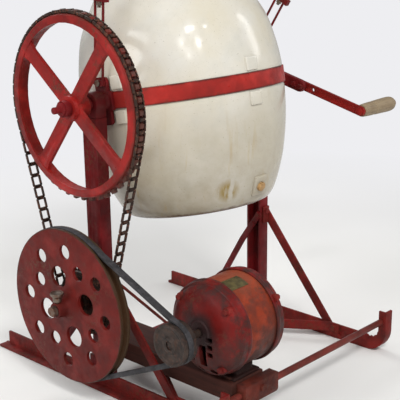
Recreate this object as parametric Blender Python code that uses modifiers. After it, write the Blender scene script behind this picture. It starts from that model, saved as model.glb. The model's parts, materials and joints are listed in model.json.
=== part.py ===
"""A stoneware tumbling butter churn on an iron stand, with a hand crank and a later electric belt drive.

Metres, +Z up. The churn turns on a level line, the trunnion line, that runs along X. The big chain
wheel is on the -X side, the hand crank on the +X side and the motor at the front, -Y. The origin is
the middle of the floor area that the machine covers.
"""

import math

import bmesh
import bpy
from mathutils import Matrix, Vector

# General
RUNNING_GAP = 0.0003
SEAT_GAP = 0.0003
OVERRUN = 0.004
BITE = 0.0008
BOLT_RADIUS = 0.004
BOLT_HEAD_RADIUS = 0.0078
BOLT_HEAD_HEIGHT = 0.0055
ROUND_STEPS = 16
PIN_STEPS = 10
MERGE = 0.00001
TURNED_MERGE = 0.00005
SMALL_HEAD = 0.8

# Stand
TRUNNION_HEIGHT = 0.584
POST_OUTER_FACE = 0.254
POST_WIDTH = 0.040
POST_DEPTH = 0.027
POST_WALL = 0.005
POST_FOOT_HEIGHT = 0.006
POST_TOP_BELOW_AXIS = 0.026
BEARING_SHOULDER_BELOW_AXIS = 0.011
BEARING_CAP_RADIUS = 0.0225
BEARING_TONGUE_LENGTH = 0.046
BEARING_BOLT_DROP = 0.015
RUNNER_BACK = 0.303
RUNNER_FRONT = 0.357
RUNNER_WALL = 0.005
RUNNER_HEIGHT = 0.034
RUNNER_FLANGE = 0.024
RUNNER_FLANGE_RUN = 0.012
CURL_RADIUS = 0.050
CURL_HEIGHT = 0.097
CURL_LEG_DEPTH = 0.019
CURL_LEG_HEIGHTS = (0.034, 0.033, 0.028, 0.030, 0.0235, 0.025, 0.020, 0.021, 0.019)
CROSS_BAR_BOTTOM = 0.026
CROSS_BAR_TOP = 0.060
CROSS_BAR_THICKNESS = 0.0125
KNEE_TOP = 0.040
KNEE_HEIGHT = 0.022
KNEE_WALL = 0.0055
KNEE_TAB = 0.026
KNEE_INNER_PLACE = 0.066
KNEE_FOOT_PLACE = 0.212
FRONT_BRACE_WIDTH = 0.020
FRONT_BRACE_WALL = 0.005
FRONT_BRACE_TOP = 0.257
FRONT_BRACE_FOOT = 0.209
FRONT_BRACE_FOOT_HEIGHT = 0.029
FRONT_BRACE_TAB_HEIGHT = 0.038
FRONT_BRACE_TAB_WIDTH = 0.021
FRONT_BRACE_BOLT_SHARE = 0.62
FRONT_BRACE_CLEAR_OF_FLOOR = 0.009
REAR_BRACE_WIDTH = 0.014
REAR_BRACE_WALL = 0.0045
REAR_BRACE_TOP_PLACE = 0.020
REAR_BRACE_ABOVE_SHAFT = 0.066
REAR_BRACE_FOOT = 0.158
REAR_BRACE_FOOT_HEIGHT = 0.010
REAR_BRACE_BEND = 0.032
REAR_BRACE_FOOT_TAB = 0.016
FRONT_ROD_RADIUS = 0.007
FRONT_ROD_END_RADIUS = 0.0045
FRONT_ROD_PLACE = 0.344
FRONT_ROD_HEIGHT = 0.073
FRONT_ROD_NUT_RADIUS = 0.0072
FRONT_ROD_NUT_HEIGHT = 0.007

# Jar
JAR_TILT = math.radians(10.5)
JAR_WALL = 0.015
JAR_SIDE_BELOW = (
    (-0.246, 0.143),
    (-0.242, 0.1500),
    (-0.228, 0.1605),
    (-0.203, 0.1725),
    (-0.165, 0.1865),
    (-0.120, 0.1975),
    (-0.075, 0.205),
    (-0.030, 0.2085),
)
JAR_SIDE_ABOVE = (
    (0.030, 0.2085),
    (0.070, 0.203),
    (0.120, 0.191),
    (0.165, 0.169),
    (0.210, 0.143),
    (0.240, 0.128),
)
JAR_HOOP_SEAT = 0.2075
JAR_RIM_TOP = 0.262
JAR_RIM_RADIUS = 0.125
JAR_MOUTH_RADIUS = 0.102
JAR_STEPS = 32
LUG_TURN = math.radians(9.2)
LUG_WIDTH = 0.027
FRONT_LUG_TURN = math.radians(86)
FRONT_LUG_WIDTH = 0.030
LUG_HEIGHT = 0.027
LUG_PROUD = 0.0045
LUG_SINK = 0.009
LUG_HOOP_GAP = 0.003
DRAIN_TURN = math.radians(-89)
DRAIN_HEIGHT = -0.208
DRAIN_PAD_WIDTH = 0.036
DRAIN_PAD_HEIGHT = 0.044
DRAIN_PAD_PROUD = 0.004
DRAIN_RADIUS = 0.0095
PLUG_PROUD = 0.0065
PLUG_STEPS = 14

# Hoop and trunnion castings
HOOP_HEIGHT = 0.033
HOOP_WALL = 0.0035
HOOP_SPLIT = 0.0012
CASTING_PAD = 0.0052
CASTING_HALF_WIDTH = 0.024
CASTING_HALF_HEIGHT = 0.018
EAR_HALF_WIDTH = 0.0172
EAR_REACH = 0.046
EAR_CORNER = 0.007
EAR_PIN_HEIGHT = 0.036
LINK_PIN_RADIUS = 0.004
LINK_PIN_HEAD = 0.0065
LINK_PIN_HEAD_HEIGHT = 0.0026
BOSS_RADIUS = 0.0195
BOSS_BEARING_GAP = 0.0008
SHAFT_RADIUS = 0.0125
SHAFT_END_RADIUS = 0.0065
CASTING_SINK = 0.006

# Lid and its clamp
LID_RADIUS = 0.127
LID_PLUG_RADIUS = 0.0985
LID_PLUG_DEPTH = 0.014
LID_WALL = 0.004
LID_CROWN = 0.016
LID_CROWN_RADIUS = 0.070
GASKET_THICKNESS = 0.004
GASKET_INNER = 0.1030
GASKET_OUTER = 0.1245
YOKE_WIDTH = 0.028
YOKE_THICKNESS = 0.009
YOKE_SLOT_HALF_WIDTH = 0.005
YOKE_PAD_RADIUS = 0.020
YOKE_END = 0.2255
LINK_LENGTH = 0.160
LINK_ROD_RADIUS = 0.0026
LINK_ROD_SPACING = 0.022
LINK_BAR_LENGTH = 0.0295
LINK_BAR_HEIGHT = 0.012
LINK_BAR_WALL = 0.0056
CROSSHEAD_LENGTH = 0.044
CROSSHEAD_HEIGHT = 0.012
CROSSHEAD_WALL = 0.0098
CLAMP_SCREW_RADIUS = 0.0036
CLAMP_SCREW_BELOW = 0.018
CLAMP_COLLAR_RADIUS = 0.0058
CLAMP_COLLAR_HEIGHT = 0.007
CLAMP_SCREW_ABOVE = 0.004
NUT_CLEAR = 0.001
WING_NUT_TAPER = 0.8
WING_NUT_RADIUS = 0.0060
WING_NUT_HEIGHT = 0.008
WING_SPAN = 0.038
WING_WALL = 0.0036
WING_HEIGHT = 0.011
LEFT_LINK_LEAN = math.radians(4)
RIGHT_LINK_LEAN = math.radians(33)

# Chain drive
CHAIN_PITCH = 0.023
WHEEL_TEETH = 48
SPROCKET_TEETH = 18
CHAIN_WIDTH = 0.021
CHAIN_WINDOW = 0.012
CHAIN_BAR = 0.0045
CHAIN_DEPTH = 0.007
CHAIN_CENTRE = 0.284
CHAIN_GAP = 0.0004
TOOTH_THICKNESS = 0.009
TOOTH_BASE = 0.0132
TOOTH_TIP = 0.0074
TOOTH_HEIGHT = 0.0072
TOOTH_ROOT_SINK = 0.0025
WHEEL_FRONT_FACE = 0.298
WHEEL_BACK_FACE = 0.272
WHEEL_RIM = 0.013
WHEEL_RIM_BEAD = 0.003
WHEEL_SPOKES = 4
WHEEL_SPOKE_PHASE = math.radians(38)
WHEEL_SPOKE_WIDTH = 0.027
WHEEL_SPOKE_DEPTH = 0.008
WHEEL_SPOKE_INSET = 0.002
WHEEL_SPOKE_FLARE = 0.009
WHEEL_HUB_RADIUS = 0.023
WHEEL_HUB_END = 0.305
WHEEL_HUB_BACK = 0.267
WHEEL_COLLAR_RADIUS = 0.016
WHEEL_COLLAR_END = 0.318
WHEEL_SHAFT_END = 0.338
COUNTERSHAFT_HEIGHT = 0.197
COUNTERSHAFT_RADIUS = 0.010
COUNTERSHAFT_END = 0.372
COUNTERSHAFT_BACK = 0.230
BACK_COLLAR_RADIUS = 0.0138
BACK_COLLAR_LENGTH = 0.010
COLLAR_CLEAR = 0.0008
SPROCKET_RIM = 0.010
SPROCKET_WEB = 0.006
SPROCKET_FRONT_FACE = 0.297
SPROCKET_HUB_RADIUS = 0.020
SPROCKET_HUB_BACK = 0.268
BRACKET_WALL = 0.006
BRACKET_BOSS_FACE = 0.2668
BRACKET_HALF_HEIGHT = 0.030
BRACKET_HALF_WIDTH = 0.017
BRACKET_BOSS_RADIUS = 0.0165
BRACKET_BOLT_PLACE = 0.023

# Belt drive
PULLEY_RADIUS = 0.157
PULLEY_FRONT_FACE = 0.334
PULLEY_BACK_FACE = 0.310
PULLEY_WEB = 0.009
PULLEY_RIM = 0.020
PULLEY_HUB_RADIUS = 0.016
PULLEY_HUB_END = 0.362
PULLEY_HUB_BACK = 0.304
PULLEY_HOLE_SETS = 4
PULLEY_PHASE = math.radians(72)
PULLEY_BIG_HOLE_RADIUS = 0.021
PULLEY_BIG_HOLE_PLACE = 0.061
PULLEY_SMALL_HOLE_RADIUS = 0.0135
PULLEY_DIAGONAL_HOLE_PLACE = 0.086
PULLEY_OUTER_HOLE_PLACE = 0.113
PULLEY_OUTER_HOLE_TURN = math.radians(19.5)
PULLEY_LIP_INSET = 0.002
SET_SCREW_PLACE = 0.355
SET_SCREW_HEAD_RADIUS = 0.0085
SET_SCREW_HEAD_HEIGHT = 0.011
SET_SCREW_NECK_RADIUS = 0.004
SET_SCREW_TOP = 0.035
BELT_CENTRE = 0.322
BELT_TOP_WIDTH = 0.013
BELT_DEPTH = 0.009
BELT_FLANK = math.radians(17)
BELT_PROUD = 0.001
GROOVE_BOTTOM_ROOM = 0.0025
PULLEY_STEPS = 40
BELT_BIG_STEPS = 30
BELT_SMALL_STEPS = 14

# Motor
MOTOR_STEPS = 24
MOTOR_PLACE = 0.287
MOTOR_HEIGHT = 0.201
MOTOR_PULLEY_RADIUS = 0.040
MOTOR_PULLEY_FRONT = 0.338
MOTOR_PULLEY_BACK = 0.306
MOTOR_SHAFT_FRONT = 0.336
MOTOR_SHAFT_BACK = 0.110
MOTOR_SHAFT_RADIUS = 0.008
SHELL_RADIUS = 0.088
SHELL_WALL = 0.004
SHELL_FRONT = 0.222
SHELL_BACK = 0.140
BELL_RIM_RADIUS = 0.0925
BELL_RIM_LAP = 0.005
BELL_DOME = ((0.007, 0.0925), (0.009, 0.088), (0.020, 0.082), (0.031, 0.066), (0.035, 0.040))
BELL_INSIDE = ((0.028, 0.040), (0.024, 0.060), (0.012, 0.076), (0.004, 0.080))
BELL_HUB_RADIUS = 0.022
BELL_HUB_FACE = 0.040
BELL_WINDOWS = 4
BELL_WINDOW_INNER = 0.032
BELL_WINDOW_OUTER = 0.060
BELL_WINDOW_HALF_TURN = math.radians(27)
BELL_WINDOW_PHASE = math.radians(45)
BELL_WINDOW_STEPS = 4
BOSS_BOLTS = 3
BOSS_BOLT_PHASE = math.radians(26)
BOSS_BOLT_RADIUS = 0.0085
BOSS_BOLT_PLACE = 0.0915
BOSS_BOLT_LENGTH = 0.013
BOSS_BOLT_HEAD = 0.0058
ROTOR_RADIUS = 0.046
ROTOR_INSET = 0.014
AIR_GAP = 0.0008
STATOR_INSET = 0.019
BASE_PLATE_LENGTH = 0.096
BASE_PLATE_WIDTH = 0.072
BASE_PLATE_WALL = 0.007
BASE_CRADLE_LENGTH = 0.084
BASE_CRADLE_WIDTH = 0.046
BASE_CRADLE_TOP = 0.030
NAMEPLATE_LENGTH = 0.048
NAMEPLATE_TURN = math.radians(107)
NAMEPLATE_HALF_TURN = math.radians(10)
NAMEPLATE_WALL = 0.0008
NAMEPLATE_PLACE = 0.193
NAMEPLATE_STEPS = 4

# Motor board
BOARD_OUTER_FACE = 0.226
BOARD_INNER_FACE = 0.136
BOARD_THICKNESS = 0.0395
BOARD_BACK = 0.042
BOARD_FRONT = 0.3365
CLAMP_OUTER_FACE = 0.214
CLAMP_INNER_FACE = 0.119
CLAMP_FRONT = 0.360
CLAMP_TOP = 0.095
CLAMP_BOTTOM = 0.050
CLAMP_CORNER = 0.012
CLAMP_LIP = 0.030
CLAMP_LIP_WALL = 0.009
STAY_ROD_RADIUS = 0.003
STAY_ROD_PLACE = 0.2405
STAY_ROD_TOP = 0.240
STAY_TAB_HALF = 0.0075
STAY_TAB_WALL = 0.004
STAY_EAR_RADIUS = 0.009
STAY_EAR_FACE = 0.0095
STAY_EYE_WALL = 0.006
STAY_ROD_IN_EYE = 0.0042
STAY_TURN = math.radians(-14)
STAY_BELL_REACH = 0.0985

# Crank
SOCKET_RADIUS = 0.021
SOCKET_INNER_FACE = 0.2555
SOCKET_OUTER_FACE = 0.284
SOCKET_ARM_WIDTH = 0.026
SOCKET_ARM_END = 0.112
SOCKET_ARM_INNER = 0.266
CRANK_DROP = math.radians(13.5)
CRANK_BAR_START = 0.076
CRANK_BAR_END = 0.270
CRANK_BAR_WIDTH = 0.020
CRANK_BAR_THICKNESS = 0.006
CRANK_BAR_FACE = 0.2775
CRANK_BOLT_PLACES = (0.085, 0.103)
CRANK_HOLE_PLACE = 0.129
HANDLE_ARM = 0.258
HANDLE_RADIUS = 0.015
HANDLE_NECK_RADIUS = 0.0115
HANDLE_LENGTH = 0.117
GRIP_NECK_SHARE = 0.06
GRIP_BELLY_SHARES = ((0.14, 0.93), (0.4, 1.0), (0.75, 0.97), (0.92, 0.9))
HANDLE_PIN_RADIUS = 0.0045
HANDLE_PIN_HEAD = 0.009
HANDLE_PIN_HEAD_HEIGHT = 0.0035

# Colours, roughness and metallic value
FINISHES = {
    "red_paint": ("8F2622", 0.55, 0.0),
    "dark_paint": ("4A2220", 0.6, 0.0),
    "stoneware": ("D9D2BF", 0.18, 0.0),
    "chain_iron": ("3A322C", 0.7, 0.7),
    "bright_iron": ("7C7166", 0.5, 0.8),
    "belt_rubber": ("3A3937", 0.85, 0.0),
    "seal_rubber": ("8A3A2C", 0.8, 0.0),
    "tinned_steel": ("B9B7B0", 0.35, 1.0),
    "grey_wood": ("A3937D", 0.8, 0.0),
    "dark_wood": ("4B382B", 0.8, 0.0),
    "plug_wood": ("C19862", 0.7, 0.0),
    "brass_plate": ("7E7448", 0.5, 0.6),
    "pulley_iron": ("3B3632", 0.6, 0.6),
    "winding": ("6B3A1E", 0.6, 0.2),
}

# Places worked out from the sizes above
POST_INNER_FACE = POST_OUTER_FACE - POST_DEPTH
POST_TOP = TRUNNION_HEIGHT - POST_TOP_BELOW_AXIS
RUNNER_INNER_FACE = POST_OUTER_FACE + SEAT_GAP
BEARING_INNER_FACE = POST_INNER_FACE + SEAT_GAP
BEARING_OUTER_FACE = POST_OUTER_FACE - SEAT_GAP
SHAFT_HOLE_RADIUS = SHAFT_RADIUS + RUNNING_GAP
CROSS_BAR_FRONT = POST_WIDTH / 2 + SEAT_GAP
BRACE_OUTER_FACE = POST_OUTER_FACE
BRACE_INNER_FACE = BRACE_OUTER_FACE - FRONT_BRACE_WALL
REAR_BRACE_TOP = COUNTERSHAFT_HEIGHT + REAR_BRACE_ABOVE_SHAFT
KNEE_FOOT_LINE = BRACE_INNER_FACE - SEAT_GAP - KNEE_WALL / 2
HOOP_INNER_RADIUS = JAR_HOOP_SEAT + SEAT_GAP
HOOP_OUTER_RADIUS = HOOP_INNER_RADIUS + HOOP_WALL
CASTING_INNER_RADIUS = HOOP_OUTER_RADIUS + SEAT_GAP
CASTING_FACE = CASTING_INNER_RADIUS + CASTING_PAD
BOSS_END = BEARING_INNER_FACE - BOSS_BEARING_GAP
LINK_INNER_FACE = CASTING_FACE + RUNNING_GAP
LINK_OUTER_FACE = LINK_INNER_FACE + LINK_BAR_WALL
LINK_CENTRE = LINK_INNER_FACE + LINK_BAR_WALL / 2
LINK_PIN_END = LINK_OUTER_FACE + RUNNING_GAP + LINK_PIN_HEAD_HEIGHT
LID_SEAT = JAR_RIM_TOP + SEAT_GAP + GASKET_THICKNESS + SEAT_GAP
LID_TOP = LID_SEAT + LID_WALL + LID_CROWN
YOKE_BOTTOM = LID_TOP + SEAT_GAP
YOKE_TOP = YOKE_BOTTOM + YOKE_THICKNESS
WHEEL_PITCH_RADIUS = CHAIN_PITCH / (2 * math.sin(math.pi / WHEEL_TEETH))
SPROCKET_PITCH_RADIUS = CHAIN_PITCH / (2 * math.sin(math.pi / SPROCKET_TEETH))
PULLEY_TURN = 2 * math.pi / PULLEY_HOLE_SETS
BOARD_BOTTOM = CROSS_BAR_TOP + SEAT_GAP
BOARD_TOP = BOARD_BOTTOM + BOARD_THICKNESS
BASE_BOTTOM = BOARD_TOP + SEAT_GAP
HANDLE_INNER_FACE = CRANK_BAR_FACE + CRANK_BAR_THICKNESS + RUNNING_GAP
HANDLE_OUTER_END = HANDLE_INNER_FACE + HANDLE_LENGTH
RIGHT_END = HANDLE_OUTER_END + RUNNING_GAP + HANDLE_PIN_HEAD_HEIGHT
LEFT_END = COUNTERSHAFT_END
BACK_END = RUNNER_BACK + RUNNER_FLANGE_RUN
FRONT_END = MOTOR_PLACE + BELL_RIM_RADIUS
MIDDLE_X = (RIGHT_END - LEFT_END) / 2
MIDDLE_Y = (BACK_END - FRONT_END) / 2


def clear_scene():
    for obj in list(bpy.data.objects):
        bpy.data.objects.remove(obj, do_unlink=True)


def make_collection(name):
    collection = bpy.data.collections.new(name)
    bpy.context.scene.collection.children.link(collection)
    return collection


def linear(value):
    return value / 12.92 if value <= 0.04045 else ((value + 0.055) / 1.055) ** 2.4


def make_material(name):
    colour, roughness, metallic = FINISHES[name]
    material = bpy.data.materials.new(name)
    material.use_nodes = True
    shader = material.node_tree.nodes["Principled BSDF"]
    channels = [linear(int(colour[i : i + 2], 16) / 255) for i in (0, 2, 4)]
    shader.inputs["Base Color"].default_value = (*channels, 1)
    shader.inputs["Roughness"].default_value = roughness
    shader.inputs["Metallic"].default_value = metallic
    material.diffuse_color = (*channels, 1)
    return material


clear_scene()
PARTS = make_collection("butter_churn")
CUTTERS = make_collection("cutters")
MATERIALS = {name: make_material(name) for name in FINISHES}


def axis_empty(name, parent, location=(0, 0, 0), rotation=(0, 0, 0)):
    """An empty that carries the pieces which turn or stand together."""
    empty = bpy.data.objects.new(name, None)
    PARTS.objects.link(empty)
    empty.parent = parent
    empty.location = location
    empty.rotation_euler = rotation
    return empty


def add_object(name, mesh, parent, finish=None, location=(0, 0, 0), rotation=(0, 0, 0)):
    """Links a mesh as a part with its finish or, without one, as a hidden tool for a Boolean."""
    obj = bpy.data.objects.new(name, mesh)
    (PARTS if finish else CUTTERS).objects.link(obj)
    obj.parent = parent
    obj.location = location
    obj.rotation_euler = rotation
    if finish:
        mesh.materials.append(MATERIALS[finish])
        mesh.shade_smooth()
        mesh.set_sharp_from_angle(angle=math.radians(35))
    else:
        obj.hide_render = True
        obj.display_type = "WIRE"
    return obj


def mesh_of(name, bm):
    bmesh.ops.recalc_face_normals(bm, faces=bm.faces)
    mesh = bpy.data.meshes.new(name)
    bm.to_mesh(mesh)
    bm.free()
    return mesh


def box(name, low, high, parent, finish=None, rotation=(0, 0, 0), location=(0, 0, 0)):
    """A block between two opposite corners."""
    bm = bmesh.new()
    bmesh.ops.create_cube(bm, size=1)
    size = [high[i] - low[i] for i in range(3)]
    centre = [(high[i] + low[i]) / 2 for i in range(3)]
    bmesh.ops.scale(bm, vec=size, verts=bm.verts)
    bmesh.ops.translate(bm, vec=centre, verts=bm.verts)
    return add_object(name, mesh_of(name, bm), parent, finish, location, rotation)


def bar(name, start, end, radius, parent, finish=None, steps=ROUND_STEPS, end_radius=None):
    """A round bar from one point to another, straight or tapered."""
    start, end = Vector(start), Vector(end)
    along = end - start
    bm = bmesh.new()
    bmesh.ops.create_cone(
        bm,
        cap_ends=True,
        segments=steps,
        radius1=radius,
        radius2=radius if end_radius is None else end_radius,
        depth=along.length,
    )
    turn = along.to_track_quat("Z", "Y").to_matrix().to_4x4()
    bmesh.ops.transform(bm, matrix=Matrix.Translation((start + end) / 2) @ turn, verts=bm.verts)
    return add_object(name, mesh_of(name, bm), parent, finish)


def turned(name, profile, parent, finish=None, steps=ROUND_STEPS, along_x=True, location=(0, 0, 0)):
    """A turned piece: closed profile points (place along the axis, radius), spun by a Screw modifier."""
    area = sum(a[1] * b[0] - b[1] * a[0] for a, b in zip(profile, list(profile[1:]) + [profile[0]]))
    if area > 0:
        profile = list(reversed(profile))
    bm = bmesh.new()
    verts = [bm.verts.new((radius, 0, place)) for place, radius in profile]
    for first, second in zip(verts, verts[1:] + verts[:1]):
        if first.co.x > 0 or second.co.x > 0:
            bm.edges.new((first, second))
    mesh = bpy.data.meshes.new(name)
    bm.to_mesh(mesh)
    bm.free()
    rotation = (0, math.pi / 2, 0) if along_x else (0, 0, 0)
    obj = add_object(name, mesh, parent, finish, location, rotation)
    screw = obj.modifiers.new("turn", "SCREW")
    screw.axis = "Z"
    screw.steps = steps
    screw.render_steps = steps
    screw.use_merge_vertices = True
    screw.merge_threshold = TURNED_MERGE
    return obj


def circle(radius, steps=ROUND_STEPS, centre=(0, 0), start=0.0):
    """Points round a circle."""
    turn = 2 * math.pi / steps
    return [
        (centre[0] + radius * math.cos(start + turn * i), centre[1] + radius * math.sin(start + turn * i))
        for i in range(steps)
    ]


def arc(radius, start, end, steps, centre=(0, 0)):
    """Points along part of a circle, both ends included."""
    return [
        (
            centre[0] + radius * math.cos(start + (end - start) * i / steps),
            centre[1] + radius * math.sin(start + (end - start) * i / steps),
        )
        for i in range(steps + 1)
    ]


def plate(name, outline, low, high, parent, finish=None, holes=(), plane="YZ"):
    """A flat plate cut to an outline with holes, between two levels along its third axis."""
    curve = bpy.data.curves.new(name, "CURVE")
    curve.dimensions = "2D"
    curve.fill_mode = "BOTH"
    curve.extrude = abs(high - low) / 2
    for points in (outline, *holes):
        spline = curve.splines.new("POLY")
        spline.points.add(len(points) - 1)
        for point, (u, v) in zip(spline.points, points):
            point.co = (u, v, 0, 1)
        spline.use_cyclic_u = True
    flat = bpy.data.objects.new(name, curve)
    bpy.context.scene.collection.objects.link(flat)
    graph = bpy.context.evaluated_depsgraph_get()
    mesh = bpy.data.meshes.new_from_object(flat.evaluated_get(graph))
    bpy.data.objects.remove(flat)
    bm = bmesh.new()
    bm.from_mesh(mesh)
    bpy.data.meshes.remove(mesh)
    bmesh.ops.remove_doubles(bm, verts=bm.verts, dist=MERGE)
    # YZ: the outline lies along Y and Z. XZ: along X and Z. XY: along X and Y.
    turns = {
        "YZ": Matrix(((0, 0, 1, 0), (1, 0, 0, 0), (0, 1, 0, 0), (0, 0, 0, 1))),
        "XZ": Matrix(((1, 0, 0, 0), (0, 0, -1, 0), (0, 1, 0, 0), (0, 0, 0, 1))),
        "XY": Matrix.Identity(4),
    }
    middle = (low + high) / 2
    shift = {"YZ": (middle, 0, 0), "XZ": (0, middle, 0), "XY": (0, 0, middle)}
    bmesh.ops.transform(bm, matrix=Matrix.Translation(shift[plane]) @ turns[plane], verts=bm.verts)
    return add_object(name, mesh_of(name, bm), parent, finish)


def sweep(name, stations, parent, finish=None, closed=False):
    """Joins cross sections with the same number of points, and caps the ends of an open one."""
    bm = bmesh.new()
    rings = [[bm.verts.new(point) for point in station] for station in stations]
    count = len(rings[0])
    pairs = list(zip(rings, rings[1:] + rings[:1])) if closed else list(zip(rings, rings[1:]))
    for first, second in pairs:
        for i in range(count):
            j = (i + 1) % count
            bm.faces.new((first[i], first[j], second[j], second[i]))
    if not closed:
        bm.faces.new(list(reversed(rings[0])))
        bm.faces.new(rings[-1])
    return add_object(name, mesh_of(name, bm), parent, finish)


def strap(name, points, width, wall, parent, finish=None, thin_axis=None, wide_axis=None):
    """A flat bar that follows points, with its wall or its width as near as can be to one direction."""
    points = [Vector(point) for point in points]
    stations = []
    for i, point in enumerate(points):
        before = (point - points[max(i - 1, 0)]).normalized()
        after = (points[min(i + 1, len(points) - 1)] - point).normalized()
        along = (before + after).normalized()
        leg = after if after.length > 0 else before
        stretch = 1 / max(along.dot(leg), 0.5)
        if wide_axis:
            wide = Vector(wide_axis)
            thin = wide.cross(along).normalized() * stretch
        else:
            wide = along.cross(Vector(thin_axis)).normalized()
            thin = wide.cross(along).normalized() * stretch
        half_wide, half_thin = wide * width / 2, thin * wall / 2
        stations.append(
            [
                point + half_wide + half_thin,
                point - half_wide + half_thin,
                point - half_wide - half_thin,
                point + half_wide - half_thin,
            ]
        )
    return sweep(name, stations, parent, finish)


def boolean(obj, operation, tools):
    for tool in tools:
        modifier = obj.modifiers.new(f"{operation.lower()} {tool.name}"[:60], "BOOLEAN")
        modifier.operation = operation
        modifier.object = tool
        modifier.solver = "EXACT"
    return obj


def join(obj, *tools):
    """Makes one body of a part and the hidden shapes that belong to it."""
    return boolean(obj, "UNION", tools)


def cut(obj, *tools):
    """Cuts hidden shapes out of a part."""
    return boolean(obj, "DIFFERENCE", tools)


def bolt_head(name, place, direction, parent, radius=BOLT_HEAD_RADIUS, height=BOLT_HEAD_HEIGHT, sides=6):
    """A hexagon or square head that stands on a face and reaches a little into it."""
    direction = Vector(direction)
    foot = Vector(place) - direction * BITE
    return bar(name, foot, foot + direction * (height + BITE), radius, parent, None, sides)


def bars(name, ends, radius, parent, steps=ROUND_STEPS):
    """Several separate round bars of one radius in one hidden mesh, used as one cutter."""
    bm = bmesh.new()
    for start, end in ends:
        start, end = Vector(start), Vector(end)
        along = end - start
        made = bmesh.ops.create_cone(
            bm, cap_ends=True, segments=steps, radius1=radius, radius2=radius, depth=along.length
        )
        turn = along.to_track_quat("Z", "Y").to_matrix().to_4x4()
        bmesh.ops.transform(bm, matrix=Matrix.Translation((start + end) / 2) @ turn, verts=made["verts"])
    return add_object(name, mesh_of(name, bm), parent)


def span(side, near, far):
    """The low and high X of a piece on one side of the machine."""
    return (side * near, side * far) if side > 0 else (side * far, side * near)


def side_box(name, side, near, far, back, front, low, high, parent, finish=None):
    """A block given by its distances from the middle, on one side of the machine."""
    first, second = span(side, near, far)
    return box(name, (first, back, low), (second, front, high), parent, finish)


ORIGIN = axis_empty("floor_origin", None, (-MIDDLE_X, -MIDDLE_Y, 0))
TRUNNION_LINE = axis_empty("trunnion_line", ORIGIN, (0, 0, TRUNNION_HEIGHT))
JAR_AXIS = axis_empty("jar_axis", TRUNNION_LINE, (0, 0, 0), (-JAR_TILT, 0, 0))
COUNTERSHAFT_LINE = axis_empty("countershaft_line", ORIGIN, (0, 0, COUNTERSHAFT_HEIGHT))
MOTOR_LINE = axis_empty("motor_line", ORIGIN, (0, -MOTOR_PLACE, MOTOR_HEIGHT))
LEFT = -1
RIGHT = 1
SIDE_NAMES = {LEFT: "left", RIGHT: "right"}


# The jar and its hoop
def jar():
    outside = list(JAR_SIDE_BELOW)
    groove = HOOP_HEIGHT / 2 + SEAT_GAP * 2
    outside += [(-groove, JAR_HOOP_SEAT), (groove, JAR_HOOP_SEAT)]
    outside += list(JAR_SIDE_ABOVE)
    inside = [(JAR_RIM_TOP, JAR_MOUTH_RADIUS)]
    inside += [(place, radius - JAR_WALL) for place, radius in reversed(JAR_SIDE_ABOVE[1:-1])]
    inside += [(place, radius - JAR_WALL) for place, radius in reversed(JAR_SIDE_BELOW[2::2])]
    floor = JAR_SIDE_BELOW[0][0] + JAR_WALL
    inside += [(floor, JAR_SIDE_BELOW[1][1] - 2 * JAR_WALL), (floor, 0)]
    profile = inside[::-1] + [(JAR_RIM_TOP, JAR_RIM_RADIUS)] + outside[::-1] + [(outside[0][0], 0)]
    body = turned("jar", profile, JAR_AXIS, "stoneware", JAR_STEPS, along_x=False)
    level = HOOP_HEIGHT / 2 + LUG_HOOP_GAP
    face = JAR_SIDE_ABOVE[0][1] + LUG_PROUD
    half_turn = math.pi
    lugs = [(base + turn, LUG_WIDTH) for base in (0, half_turn) for turn in (LUG_TURN, -LUG_TURN)]
    lugs += [(base + FRONT_LUG_TURN, FRONT_LUG_WIDTH) for base in (0, half_turn)]
    for turn, width in lugs:
        for low in (level, -level - LUG_HEIGHT):
            near = (face - LUG_PROUD - LUG_SINK, -width / 2, low)
            join(body, box("lug", near, (face, width / 2, low + LUG_HEIGHT), JAR_AXIS, None, (0, 0, turn)))
    frame = drain_frame()
    half, rise = DRAIN_PAD_WIDTH / 2, DRAIN_PAD_HEIGHT / 2
    join(body, box("drain pad", (-LUG_SINK, -half, -rise), (DRAIN_PAD_PROUD, half, rise), frame))
    hole = DRAIN_RADIUS + RUNNING_GAP
    cut(body, bar("drain hole", (-2 * JAR_WALL, 0, 0), (2 * JAR_WALL, 0, 0), hole, frame, None, PLUG_STEPS))


def drain_frame():
    """The place of the drain: its X leaves the jar's sloping side squarely."""
    for (low, first), (high, second) in zip(JAR_SIDE_BELOW, JAR_SIDE_BELOW[1:]):
        if low <= DRAIN_HEIGHT <= high:
            slope = (second - first) / (high - low)
            radius = first + slope * (DRAIN_HEIGHT - low)
    turned_to = axis_empty("drain_turn", JAR_AXIS, (0, 0, 0), (0, 0, DRAIN_TURN))
    return axis_empty("drain_place", turned_to, (radius, 0, DRAIN_HEIGHT), (0, math.atan(slope), 0))


def drain_plug():
    frame = drain_frame()
    start, end = (-JAR_WALL, 0, 0), (DRAIN_PAD_PROUD + PLUG_PROUD, 0, 0)
    bar("drain_plug", start, end, DRAIN_RADIUS, frame, "plug_wood", PLUG_STEPS)


def half_hoop(name, towards_back):
    """Half of the clamped hoop. The two halves meet under the trunnion castings."""
    gap = HOOP_SPLIT / 2 / HOOP_INNER_RADIUS
    turn = 2 * math.pi / JAR_STEPS
    angles = [gap] + [turn * i for i in range(1, JAR_STEPS // 2)] + [math.pi - gap]
    if not towards_back:
        angles = [angle + math.pi for angle in angles]
    stations = []
    for angle in angles:
        across = Vector((math.cos(angle), math.sin(angle), 0))
        section = []
        for radius, height in (
            (HOOP_INNER_RADIUS, -HOOP_HEIGHT / 2),
            (HOOP_OUTER_RADIUS, -HOOP_HEIGHT / 2),
            (HOOP_OUTER_RADIUS, HOOP_HEIGHT / 2),
            (HOOP_INNER_RADIUS, HOOP_HEIGHT / 2),
        ):
            section.append(across * radius + Vector((0, 0, height)))
        stations.append(section)
    sweep(name, stations, JAR_AXIS, "red_paint")


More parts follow.
